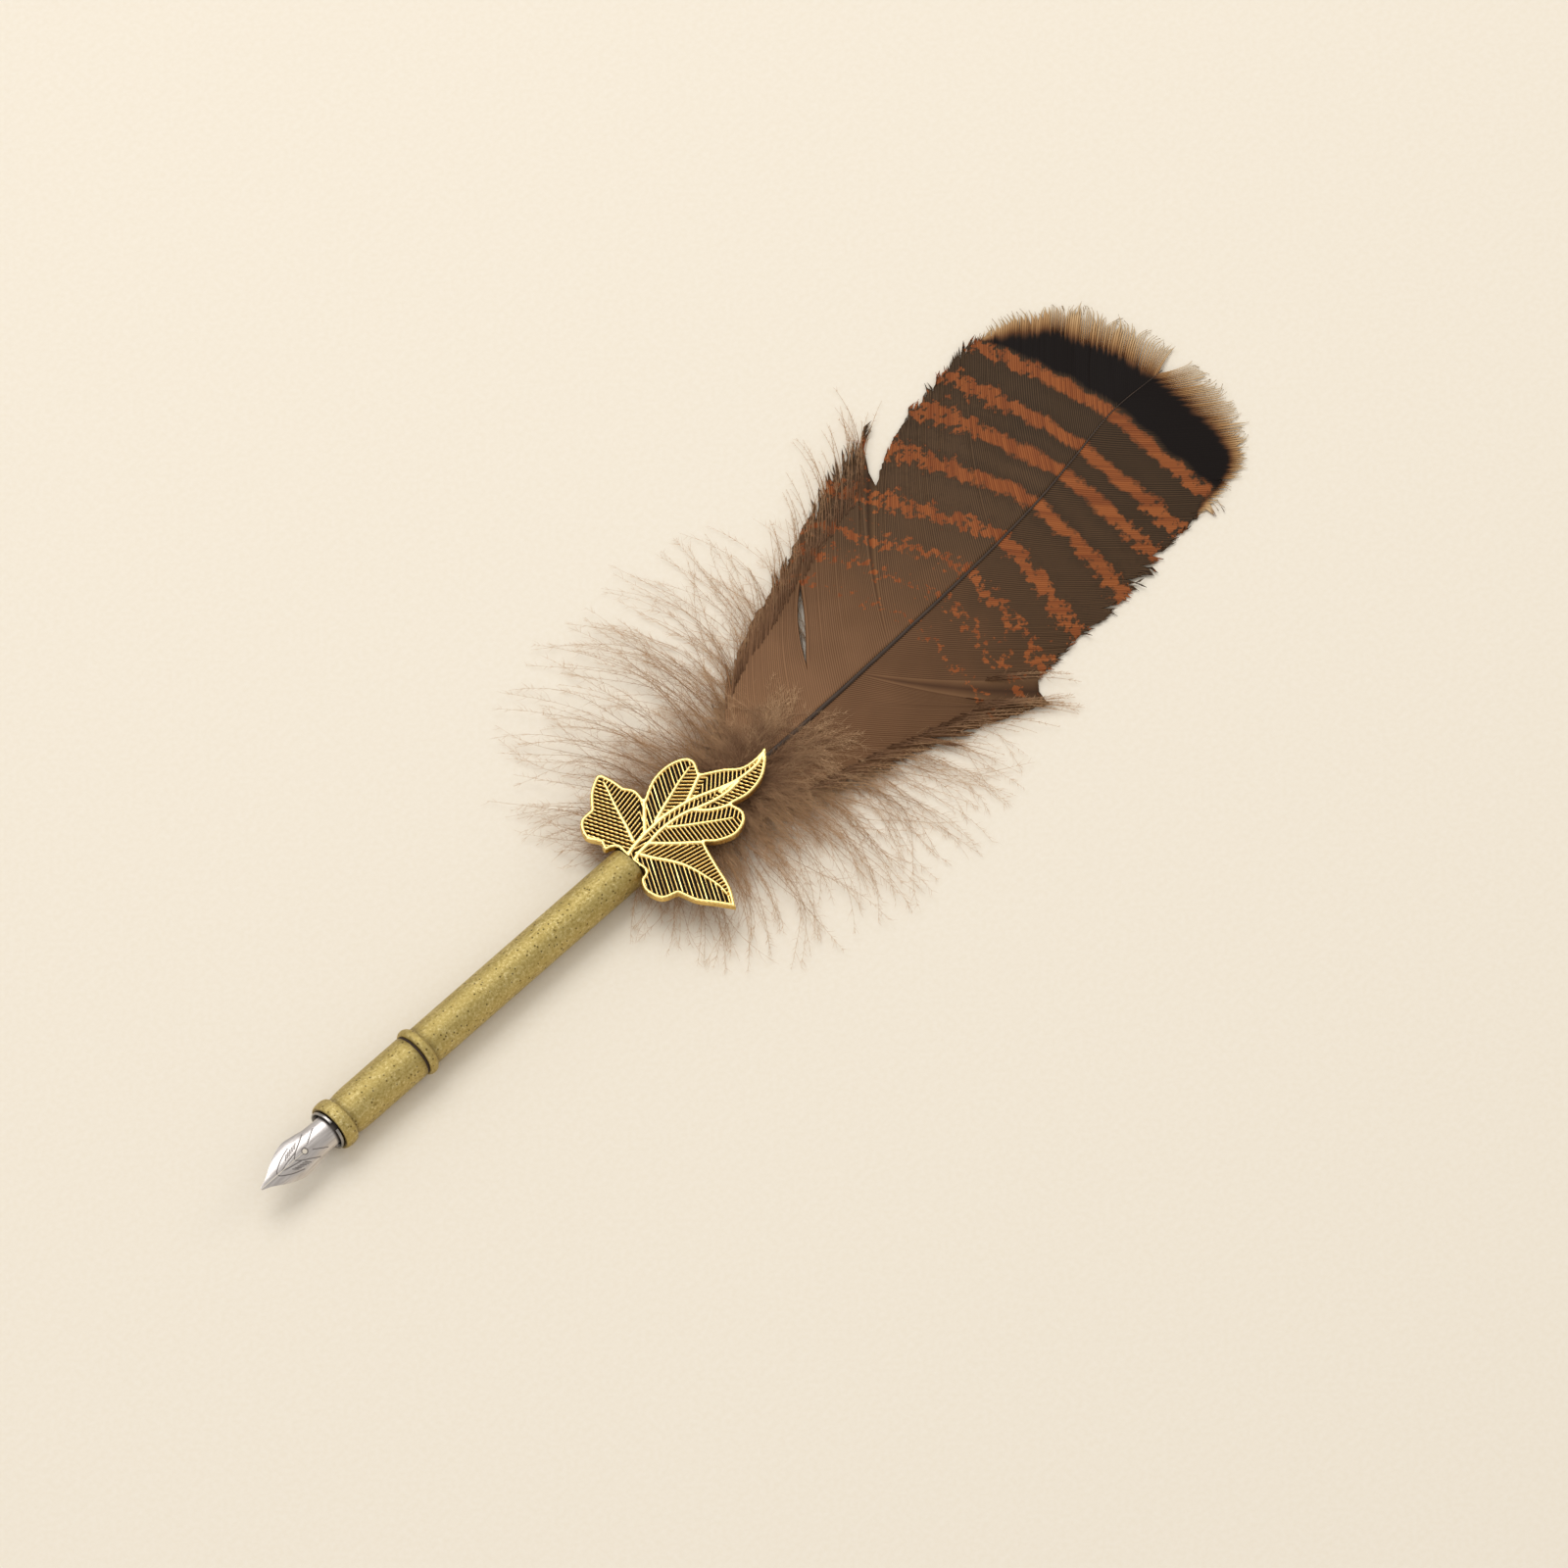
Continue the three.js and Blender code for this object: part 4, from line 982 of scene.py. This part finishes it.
# Where the bars cross the shaft, and how far each leans back 24 mm out on the left and right.
BAR_PLACES = np.array([168.5, 176.5, 184, 193.5, 203.3, 211.6, 218.2, 227.4])
LEAN_LEFT = [8, 9, 10, 10, 8, 5.5, 4, 4.7]
LEAN_RIGHT = [3, 4, 4.5, 5, 1.5, 0, 0, 0]


def markings(piece, points, barb, part, edge, random):
    """Notes each point's place in the feather's pattern, in millimetres, its barb's tone, and
    whether it is on the right web, which gets a little painted shade."""
    x, y = points[:, 0], points[:, 1]
    out = np.abs(y - shaft_at(x)[:, 1])
    level = x
    for _ in range(12):
        lean = np.interp(level, BAR_PLACES, LEAN_LEFT if edge is LEFT_EDGE else LEAN_RIGHT)
        level = (level + x + lean * (out / 24) ** 1.2) / 2
    ripple = 0.7 * np.sin(0.55 * x + 0.3 * y) * np.sin(0.42 * y + 1) + 0.5 * np.sin(0.9 * y - 0.35 * x)
    barb_tone = random.random(barb.max() + 1)
    # The bars run straighter towards the tip.
    calm = np.interp(level, [176, 208], [1, 0.45])
    level = level + (ripple * np.clip(out / 6, 0, 1) + (barb_tone[barb] - 0.5) * 0.8) * calm
    note(piece, "level", level)
    note(piece, "bar", np.abs(level[:, None] - BAR_PLACES).min(axis=1))
    note(piece, "inset", tip_inset(points[:, :2], edge) + (barb_tone[barb] - 0.5) * 1.2)
    note(piece, "outward", out)
    note(piece, "tone", barb_tone[barb])
    # Ridge points get a painted highlight and edge points painted shade in the barbs' material.
    note(piece, "groove", part != 1)
    # The right web is marked for a little painted shade.
    note(piece, "shaded_side", np.full(len(points), float(edge is RIGHT_EDGE)))


# Barred keratin barbs: silky brown with a painted highlight on each barb's ridge and painted shade along
# its edges, rust-red bars whose edges step from barb to barb and break up into flecks 1.4 mm long, and a
# buff tip past a black band.
barred = new_material("barred_feather_barbs")
place = add(barred, "TexCoord")
level = add(barred, "Attribute", attribute_name="level")
bar = add(barred, "Attribute", attribute_name="bar")
inset = add(barred, "Attribute", attribute_name="inset")
outward_mm = add(barred, "Attribute", attribute_name="outward")
tone = add(barred, "Attribute", attribute_name="tone")
groove_share = add(barred, "Attribute", attribute_name="groove")
drift = add(barred, "TexNoise", {"Vector": place.outputs["Object"], "Scale": 1000 / 9, "Detail": 2.0})
drift_mm = add(barred, "MapRange", {"Value": drift, "From Min": 0.25, "From Max": 0.75,
                                    "To Min": -6.0, "To Max": 6.0})
ground_level = add(barred, "Math", {0: level.outputs["Fac"], 1: drift_mm}, operation="ADD")
ground_place = add(barred, "MapRange", {"Value": ground_level, "From Min": 120, "From Max": 230})
ground = add(barred, "ValToRGB", {"Fac": ground_place}, stops=[
    (0.0, "#976f4d"), (0.27, "#886245"), (0.42, "#714f35"), (0.6, "#553d29"), (0.78, "#4a3625"),
    (0.92, "#35271b")])
# Painted shade: the right web's ground colour is multiplied a little darker.
shaded_side = add(barred, "Attribute", attribute_name="shaded_side")
ground_with_painted_shade = add(barred, "MixRGB", {"Fac": shaded_side.outputs["Fac"], "Color1": ground,
                                     "Color2": "#dad4ce"}, blend_type="MULTIPLY")
fleck_noise = add(barred, "TexNoise", {"Vector": place.outputs["Object"], "Scale": 1000 / 1.4,
                                       "Detail": 3.0, "Roughness": 0.6})
fleck = add(barred, "MapRange", {"Value": fleck_noise, "From Min": 0.3, "From Max": 0.7,
                                 "To Min": 1.0, "To Max": -1.0})
break_up = add(barred, "MapRange", {"Value": level.outputs["Fac"], "From Min": 172, "From Max": 206,
                                    "To Min": 3.4, "To Max": 0.55})
break_out = add(barred, "MapRange", {"Value": outward_mm.outputs["Fac"], "From Min": 12, "From Max": 26,
                                     "To Min": 0.0, "To Max": 1.5})
break_most = add(barred, "Math", {0: break_up, 1: break_out}, operation="ADD")
ragged = add(barred, "Math", {0: fleck, 1: break_most}, operation="MULTIPLY")
bar_edge = add(barred, "Math", {0: bar.outputs["Fac"], 1: ragged}, operation="ADD")
bar_half = add(barred, "MapRange", {"Value": level.outputs["Fac"], "From Min": 162, "From Max": 190,
                                    "To Min": -1.6, "To Max": 1.3})
within = add(barred, "Math", {0: bar_half, 1: bar_edge}, operation="SUBTRACT")
rust_share = add(barred, "MapRange", {"Value": within, "From Min": -0.4, "From Max": 0.4})
rust = add(barred, "MixRGB", {"Fac": tone.outputs["Fac"], "Color1": "#85401a", "Color2": "#a85c2b"})
beside = add(barred, "MapRange", {"Value": within, "From Min": -2.4, "From Max": -0.2,
                                  "To Min": 0.0, "To Max": 0.6})
beside_on = add(barred, "MapRange", {"Value": level.outputs["Fac"], "From Min": 184, "From Max": 204})
beside_share = add(barred, "Math", {0: beside, 1: beside_on}, operation="MULTIPLY")
edged = add(barred, "MixRGB", {"Fac": beside_share, "Color1": ground_with_painted_shade, "Color2": "#22170e"})
rusty = add(barred, "MixRGB", {"Fac": rust_share, "Color1": edged, "Color2": rust})
# A painted highlight along each barb's ridge.
ridge = add(barred, "MapRange", {"Value": groove_share.outputs["Fac"], "To Min": 0.17, "To Max": 0.0})
ridge_lit = add(barred, "MixRGB", {"Fac": ridge, "Color1": rusty, "Color2": "#b08a62"})
black_share = add(barred, "MapRange", {"Value": level.outputs["Fac"], "From Min": 228.8, "From Max": 230})
banded = add(barred, "MixRGB", {"Fac": black_share, "Color1": ridge_lit, "Color2": "#140b07"})
pale_share = add(barred, "MapRange", {"Value": inset.outputs["Fac"], "From Min": 9.4, "From Max": 7.6})
pale_place = add(barred, "MapRange", {"Value": inset.outputs["Fac"], "From Min": 8.8, "From Max": 1.0})
pale = add(barred, "ValToRGB", {"Fac": pale_place}, stops=[
    (0.0, "#21130b"), (0.16, "#6f492c"), (0.36, "#aa8054"), (0.65, "#cfaa7c"), (1.0, "#e0c69e")])
tipped = add(barred, "MixRGB", {"Fac": pale_share, "Color1": banded, "Color2": pale})
# Painted shade along each barb's edges, where it meets its neighbours.
groove_painted_shade = add(barred, "MapRange", {"Value": groove_share.outputs["Fac"], "To Min": 0.0, "To Max": 0.55})
barb_colour = add(barred, "MixRGB", {"Fac": groove_painted_shade, "Color1": tipped, "Color2": "#7d7468"},
                  blend_type="MULTIPLY")
barb_shader = add(barred, "BsdfPrincipled", {"Base Color": barb_colour, "Roughness": 0.6,
                                             "Specular IOR Level": 0.12})
add(barred, "OutputMaterial", {"Surface": barb_shader})


def left_hold(u):
    """How far out the left web's barbs hold together: loose near the quill and at the tip."""
    return float(np.interp(u, [0, 0.12, 0.36, 0.38, 0.55, 0.9, 1],
                           [0.75, 0.84, 0.9, 0.97, 0.97, 0.93, 0.85]))


def right_hold(u):
    """How far out the right web's barbs hold together."""
    return float(np.interp(u, [0, 0.1, 0.27, 0.29, 0.9, 1], [0.75, 0.84, 0.82, 0.97, 0.93, 0.85]))


# The slope of the barbs from the shaft, along the pen: almost along the shaft at the tip.
LEFT_SLOPES = [(VANE_START, 47), (165, 47), (200, 51), (222, 44), (234, 34), (VANE_END, 18)]
RIGHT_SLOPES = [(VANE_START, 46), (165, 44), (200, 46), (222, 42), (234, 34), (VANE_END, 18)]
# How far in from the tip's edge the barbs are thinned, in millimetres.
FRINGE = 8

webs = {}
for name, node, edge, seed, hold, slopes in (
        ("barred_vane_left", "vane_left", LEFT_EDGE, 11, left_hold, LEFT_SLOPES),
        ("barred_vane_right", "vane_right", RIGHT_EDGE, 12, right_hold, RIGHT_SLOPES)):
    barbs = web(edge, VANE_START, VANE_END, BARBS, seed, hold, CLUMP, FRAY, slopes)
    webs[node] = barbs
    # Past the black band the barbs are bare and thin, so the table shows through the tip.
    path = barbs["path"]
    inset = tip_inset(path.reshape(-1, 2), edge).reshape(path.shape[:2])
    at_tip = (path[..., 0] > 226) & (inset < FRINGE)
    barbs["thin"] = np.where(at_tip, 0.3 + 0.65 * inset / FRINGE, 1)
    if node == "vane_left":
        # One place where two barbs have parted in the middle of the web and show a pale sliver.
        t = np.linspace(0, 1, BARB_STEPS + 1)
        parting = int(np.argmin(np.hypot(path[:, 20, 0] - 155, path[:, 20, 1] - 15)))
        bulge = np.sin(math.pi * np.clip((t - 0.22) / 0.5, 0, 1))
        aside = np.exp(-np.abs(np.arange(BARBS) - parting - 0.5) / 6)
        aside *= np.sign(np.arange(BARBS) - parting - 0.5)
        barbs["path"] = path - barbs["normal"] * (0.85 * aside[:, None] * bulge)[..., None]
        parted = np.zeros((BARBS - 1, BARB_STEPS + 1), bool)
        parted[parting] = (t > 0.22) & (t < 0.72)
        barbs["parted"] = parted
    points, faces, barb, part = weave(barbs)
    vane = make_piece(name, points, faces, barred, crease=180)
    markings(vane, points, barb, part, edge, barbs["random"])
    skin = vane.modifiers.new("thickness", "SOLIDIFY")
    skin.thickness = 0.00008
    skin.offset = -1
    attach(vane, "stem")
    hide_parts(node)


# Down
# The fluffy base of the feather: soft barbs with long loose barbules that hook to nothing. They
# stand out on both sides of the quill, behind the leaf, and an afterfeather lies under it.

def plumes(roots, targets, seed, bend, curl, height, steps=16):
    """Soft barbs that leave their roots and wander to their targets, bent by about bend radians,
    curl more or less, and raised by up to height millimetres. It returns their middle lines."""
    random = np.random.default_rng(seed)
    count = len(roots)
    t = np.linspace(0, 1, steps)
    run = targets[:, :2] - roots[:, :2]
    bends = random.normal(bend, curl, count)[:, None]
    sway = random.normal(0, 0.05, count)[:, None]
    phase = random.random(count)[:, None] * 2 * math.pi
    beside = np.column_stack([-run[:, 1], run[:, 0]])
    off = bends * t * (1 - t) + sway * np.sin(2.2 * math.pi * t + phase) * t
    xy = roots[:, None, :2] + run[:, None] * t[:, None] + beside[:, None] * off[..., None]
    raised_by = random.random(count)[:, None] * height
    z = roots[:, 2:] + (targets[:, 2:] - roots[:, 2:]) * t + raised_by * np.sin(math.pi * t ** 0.8)
    return np.dstack([xy, z])


def fluff(lines, seed, thickness, barbules, reach):
    """Meshes plumes: a three-sided strand for each, and flat curved barbules along both sides, in
    all barbules for each strand and reach millimetres long on average. It returns points, faces and
    each point's share of the way out."""
    random = np.random.default_rng(seed)
    count, steps, _ = lines.shape
    t = np.linspace(0, 1, steps)
    along = np.gradient(lines, axis=1)
    length = np.linalg.norm(along, axis=2).sum(axis=1)
    along /= np.linalg.norm(along, axis=2)[..., None]
    beside = np.dstack([-along[..., 1], along[..., 0], np.zeros((count, steps))])
    beside /= np.linalg.norm(beside, axis=2)[..., None]
    up = np.cross(along, beside)
    radius = (thickness * (1 - 0.8 * t))[None, :, None]
    corners = [lines + radius * (beside * math.cos(a) + up * math.sin(a))
               for a in (math.pi / 2, math.pi * 7 / 6, math.pi * 11 / 6)]
    points = [np.stack(corners, axis=2).reshape(-1, 3)]
    index = np.arange(count * steps * 3).reshape(count, steps, 3)
    quads = np.vstack([
        np.stack([index[:, :-1, a], index[:, 1:, a], index[:, 1:, b], index[:, :-1, b]],
                 axis=-1).reshape(-1, 4)
        for a, b in ((0, 1), (1, 2), (2, 0))])
    shares = [np.broadcast_to(t[None, :, None], index.shape).ravel()]
    # A barbule is a bent sliver of two stretches, from a random place on a strand.
    total = count * barbules
    owner = random.choice(count, total, p=length / length.sum())
    at = random.random(total) * (steps - 1.01)
    step = at.astype(int)
    part = (at - step)[:, None]
    base = lines[owner, step] * (1 - part) + lines[owner, step + 1] * part
    forward, sideways = along[owner, step], beside[owner, step]
    hand = random.choice([-1, 1], total)[:, None]
    spread = random.normal(0.62, 0.28, total)[:, None]
    aim = forward * np.cos(spread) + sideways * hand * np.sin(spread)
    aim[:, 2:] += random.normal(0, 0.3, total)[:, None]
    size = random.gamma(5, reach / 5, total)[:, None] * (1 - 0.6 * (at / steps))[:, None]
    turned_aim = aim + forward * random.normal(0.3, 0.4, total)[:, None]
    middle_point = base + aim * size * 0.5
    end_point = middle_point + turned_aim * size * 0.5
    breadth = np.cross(aim, [0, 0, 1])
    breadth /= np.linalg.norm(breadth, axis=1)[:, None] + 1e-9
    half = thickness * 0.3
    barbule_points = np.stack([base - breadth * half, base + breadth * half,
                               middle_point - breadth * half * 0.7, middle_point + breadth * half * 0.7,
                               end_point], axis=1)
    first = len(points[0]) + np.arange(total)[:, None] * 5
    points.append(barbule_points.reshape(-1, 3))
    shares.append(np.repeat((at / steps), 5))
    slivers = first + np.array([0, 1, 3, 2])
    ends = first + np.array([2, 3, 4])
    points = np.vstack(points)
    points[:, 2] = np.maximum(points[:, 2], FLOOR_Z + 0.05)
    return points, quads.tolist() + slivers.tolist() + ends.tolist(), np.concatenate(shares)


# Down barbs: dull, very fine brown keratin, darker towards their roots near the quill and lighter towards
# their tips.
downy = new_material("soft_down")
share_out = add(downy, "Attribute", attribute_name="share")
place = add(downy, "TexCoord")
mottle = add(downy, "TexNoise", {"Vector": place.outputs["Object"], "Scale": 1000 / 4, "Detail": 2.0})
mottle_shift = add(downy, "MapRange", {"Value": mottle, "To Min": -0.2, "To Max": 0.2})
down_place = add(downy, "Math", {0: share_out.outputs["Fac"], 1: mottle_shift}, operation="ADD")
down_colour = add(downy, "ValToRGB", {"Fac": down_place}, stops=[
    (0.0, "#553a25"), (0.25, "#84634a"), (0.55, "#aa8664"), (0.85, "#c4a07a"), (1.0, "#c6a47e")])
down_shader = add(downy, "BsdfPrincipled", {"Base Color": down_colour, "Roughness": 0.9,
                                            "Specular IOR Level": 0.1})
add(downy, "OutputMaterial", {"Surface": down_shader})


def down_piece(name, node, tufts, darkest=0.18):
    """Joins meshed plumes into one soft piece of the feather, which may take a CAD node's place."""
    points, faces, shares = [], [], []
    for tuft_points, tuft_faces, share in tufts:
        first = sum(len(part) for part in points)
        points.append(tuft_points)
        faces += [[first + k for k in face] for face in tuft_faces]
        shares.append(share)
    piece = make_piece(name, np.vstack(points), faces, downy, crease=180)
    note(piece, "share", darkest + (0.92 - darkest) * np.concatenate(shares))
    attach(piece, "stem")
    if node:
        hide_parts(node)


LEFT_DOWN_EDGE = [(88, 10), (88, 22), (93, 32), (103, 39), (116, 43), (131, 45), (145, 44),
                  (155, 40), (163, 35)]
RIGHT_DOWN_EDGE = [(86, -9), (90, -19), (99, -30), (111, -36), (126, -38.5), (140, -39), (153, -36.5),
                   (163, -32)]
DOWN_START = 97
DOWN_END = 142
UNDER_LEAF = 0.9


def down_plumes(edge, seed, count, least, most, bend, height):
    """Plumes from the shaft towards an edge, each going from least to most of the way there."""
    random = np.random.default_rng(seed)
    s = np.sort(random.random(count))
    roots = shaft_at(DOWN_START + (DOWN_END - DOWN_START) * s)
    roots[:, 1] += random.normal(0, 0.5, count)
    roots[:, 2] -= 0.6 + random.random(count) * 1.0
    line = spline(edge, 400)
    pick = np.clip((s + random.normal(0, 0.07, count)) * 399, 0, 399).astype(int)
    reach = (least + (most - least) * random.random(count) ** 0.8)[:, None]
    targets = roots.copy()
    targets[:, :2] += (line[pick] - roots[:, :2]) * reach
    targets[:, 2] = FLOOR_Z + 0.3 + random.random(count) * height * 0.5
    lines = plumes(roots, targets, seed + 1, bend, 0.3, height)
    # Nothing rises through the leaf, and past it the down stays under the webs.
    ceiling = np.interp(lines[..., 0], [120, 134], [UNDER_LEAF, FLOOR_Z + 0.6])
    lines[..., 2] = np.minimum(lines[..., 2], ceiling + 0.4 * random.random((count, 1)))
    return lines


for name, node, edge, bend, seed in (("soft_down_left", "down_left", LEFT_DOWN_EDGE, -0.45, 31),
                                     ("soft_down_right", "down_right", RIGHT_DOWN_EDGE, 0.45, 41)):
    long_plumes = down_plumes(edge, seed, 150, 0.6, 1.1, bend, 3.0)
    short_plumes = down_plumes(edge, seed + 5, 300, 0.15, 0.58, bend * 0.5, 3.0)
    down_piece(name, node, [fluff(long_plumes, seed + 7, 0.085, 60, 2.2),
                            fluff(short_plumes, seed + 8, 0.06, 76, 2.8)])

# The afterfeather: a small second tuft that grows from the quill's underside.
random = np.random.default_rng(51)
TUFT_BARBS = 120
tuft_roots = shaft_at(random.uniform(99, 112, TUFT_BARBS))
tuft_roots[:, 2] -= 1.4
tuft_targets = tuft_roots + np.column_stack([random.uniform(3, 14, TUFT_BARBS),
                                             random.uniform(-9, 9, TUFT_BARBS),
                                             random.uniform(-1.6, -0.4, TUFT_BARBS)])
tuft = plumes(tuft_roots, tuft_targets, 52, 0, 0.3, 0.3)
down_piece("afterfeather_tuft", "afterfeather", [fluff(tuft, 53, 0.06, 60, 2.2)])


# Loose barb tips
# Hair-like ends of the feather's own barbs, which run on past the dense webs: a comb of curved hairs
# on the left, a brush of tips on the right, and soft barbs and curls over the foot of both webs.

def free_tips(barbs, chosen, extra, bend, random):
    """Middle lines for barbs' ends that run on past the web's edge by extra and bend back."""
    path, z = barbs["path"][chosen], barbs["z"][chosen]
    start = path[:, 30]
    heading = path[:, 40] - path[:, 33]
    heading /= np.linalg.norm(heading, axis=1)[:, None]
    back = barbs["side"] * np.column_stack([-heading[:, 1], heading[:, 0]])
    t = np.linspace(0, 1, 14)
    reach = (np.linalg.norm(path[:, -1] - start, axis=1) + extra)[:, None]
    xy = start[:, None] + heading[:, None] * (reach * t)[..., None]
    xy = xy + back[:, None] * (reach * bend[:, None] * t ** 2.5)[..., None]
    height = z[:, 30:31] + 0.15 + (FLOOR_Z + 0.5 - z[:, 30:31]) * t
    height = height + random.random((len(chosen), 1)) * 1.2 * np.sin(math.pi * t)
    return np.dstack([xy, height])


LEFT_TIPS = 62
RIGHT_TIPS = 60
left_web, right_web = webs["vane_left"], webs["vane_right"]
random = np.random.default_rng(61)
chosen = np.sort(random.choice(np.arange(4, 84), LEFT_TIPS, replace=False))
left_tips = free_tips(left_web, chosen, random.uniform(1, 8.5, LEFT_TIPS),
                      random.normal(0.16, 0.12, LEFT_TIPS), random)
down_piece("loose_barb_tips_left", None, [fluff(left_tips, 62, 0.11, 22, 1.1)], darkest=0.12)
chosen = np.sort(random.choice(np.arange(4, 70), RIGHT_TIPS, replace=False))
right_tips = free_tips(right_web, chosen, random.uniform(1, 9, RIGHT_TIPS),
                       random.normal(0.03, 0.08, RIGHT_TIPS), random)
down_piece("loose_barb_tips_right", None, [fluff(right_tips, 63, 0.12, 26, 1.2)], darkest=0.08)

# Soft barbs lie over the first centimetres of both webs and hide where the webs begin.
COVER_BARBS = 150
for name, side, seed in (("covering_down_left", 1, 71), ("covering_down_right", -1, 72)):
    random = np.random.default_rng(seed)
    cover_roots = shaft_at(random.uniform(113, 132, COVER_BARBS))
    cover_roots[:, 1] += side * random.uniform(0.5, 5, COVER_BARBS)
    ahead = random.uniform(0.15, 1.35, COVER_BARBS)
    cover_length = random.uniform(7, 17, COVER_BARBS)
    cover_targets = cover_roots + np.column_stack([
        np.cos(ahead) * cover_length, side * np.sin(ahead) * cover_length, np.zeros(COVER_BARBS)])
    cover = plumes(cover_roots, cover_targets, seed + 2, -0.25 * side, 0.35, 0)
    # The webs fall from the shaft to their edges, and these barbs follow them a little higher.
    web_share = np.abs(cover[..., 1]) / np.interp(cover[..., 0], [118, 137, 160], [7, 16, 27])
    fall = np.minimum(web_share, 1) ** VANE_CAMBER
    shaft_height = shaft_at(cover[..., 0].ravel())[:, 2].reshape(cover.shape[:2])
    cover[..., 2] = shaft_height + (FLOOR_Z + VANE_REST - shaft_height) * fall
    cover[..., 2] += 0.3 + 0.7 * random.random((COVER_BARBS, 1))
    cover[..., 2] = np.where(cover[..., 0] < 132, np.minimum(cover[..., 2], UNDER_LEAF), cover[..., 2])
    down_piece(name, None, [fluff(cover, seed + 4, 0.05, 60, 2.6)], darkest=0.14)

CURLS = 46
random = np.random.default_rng(66)
curl_roots = shaft_at(random.uniform(122, 137, CURLS))
curl_roots[:, 1] += random.choice([-1, 1], CURLS) * random.uniform(1, 7, CURLS)
curl_roots[:, 0] += np.abs(curl_roots[:, 1]) * 0.5
curl_roots[:, 2] -= 0.1
angle = random.uniform(-2.2, 2.2, CURLS)
curl_length = random.uniform(5, 11, CURLS)
curl_targets = curl_roots + np.column_stack([np.cos(angle) * curl_length, np.sin(angle) * curl_length,
                                             random.uniform(-0.2, 0.2, CURLS)])
curls = plumes(curl_roots, curl_targets, 64, 0, 0.7, 0.9)
curls[..., 2] = np.where(curls[..., 0] < 131, np.minimum(curls[..., 2], UNDER_LEAF), curls[..., 2])
down_piece("curled_barbs", None, [fluff(curls, 65, 0.05, 70, 2.0)], darkest=0.2)
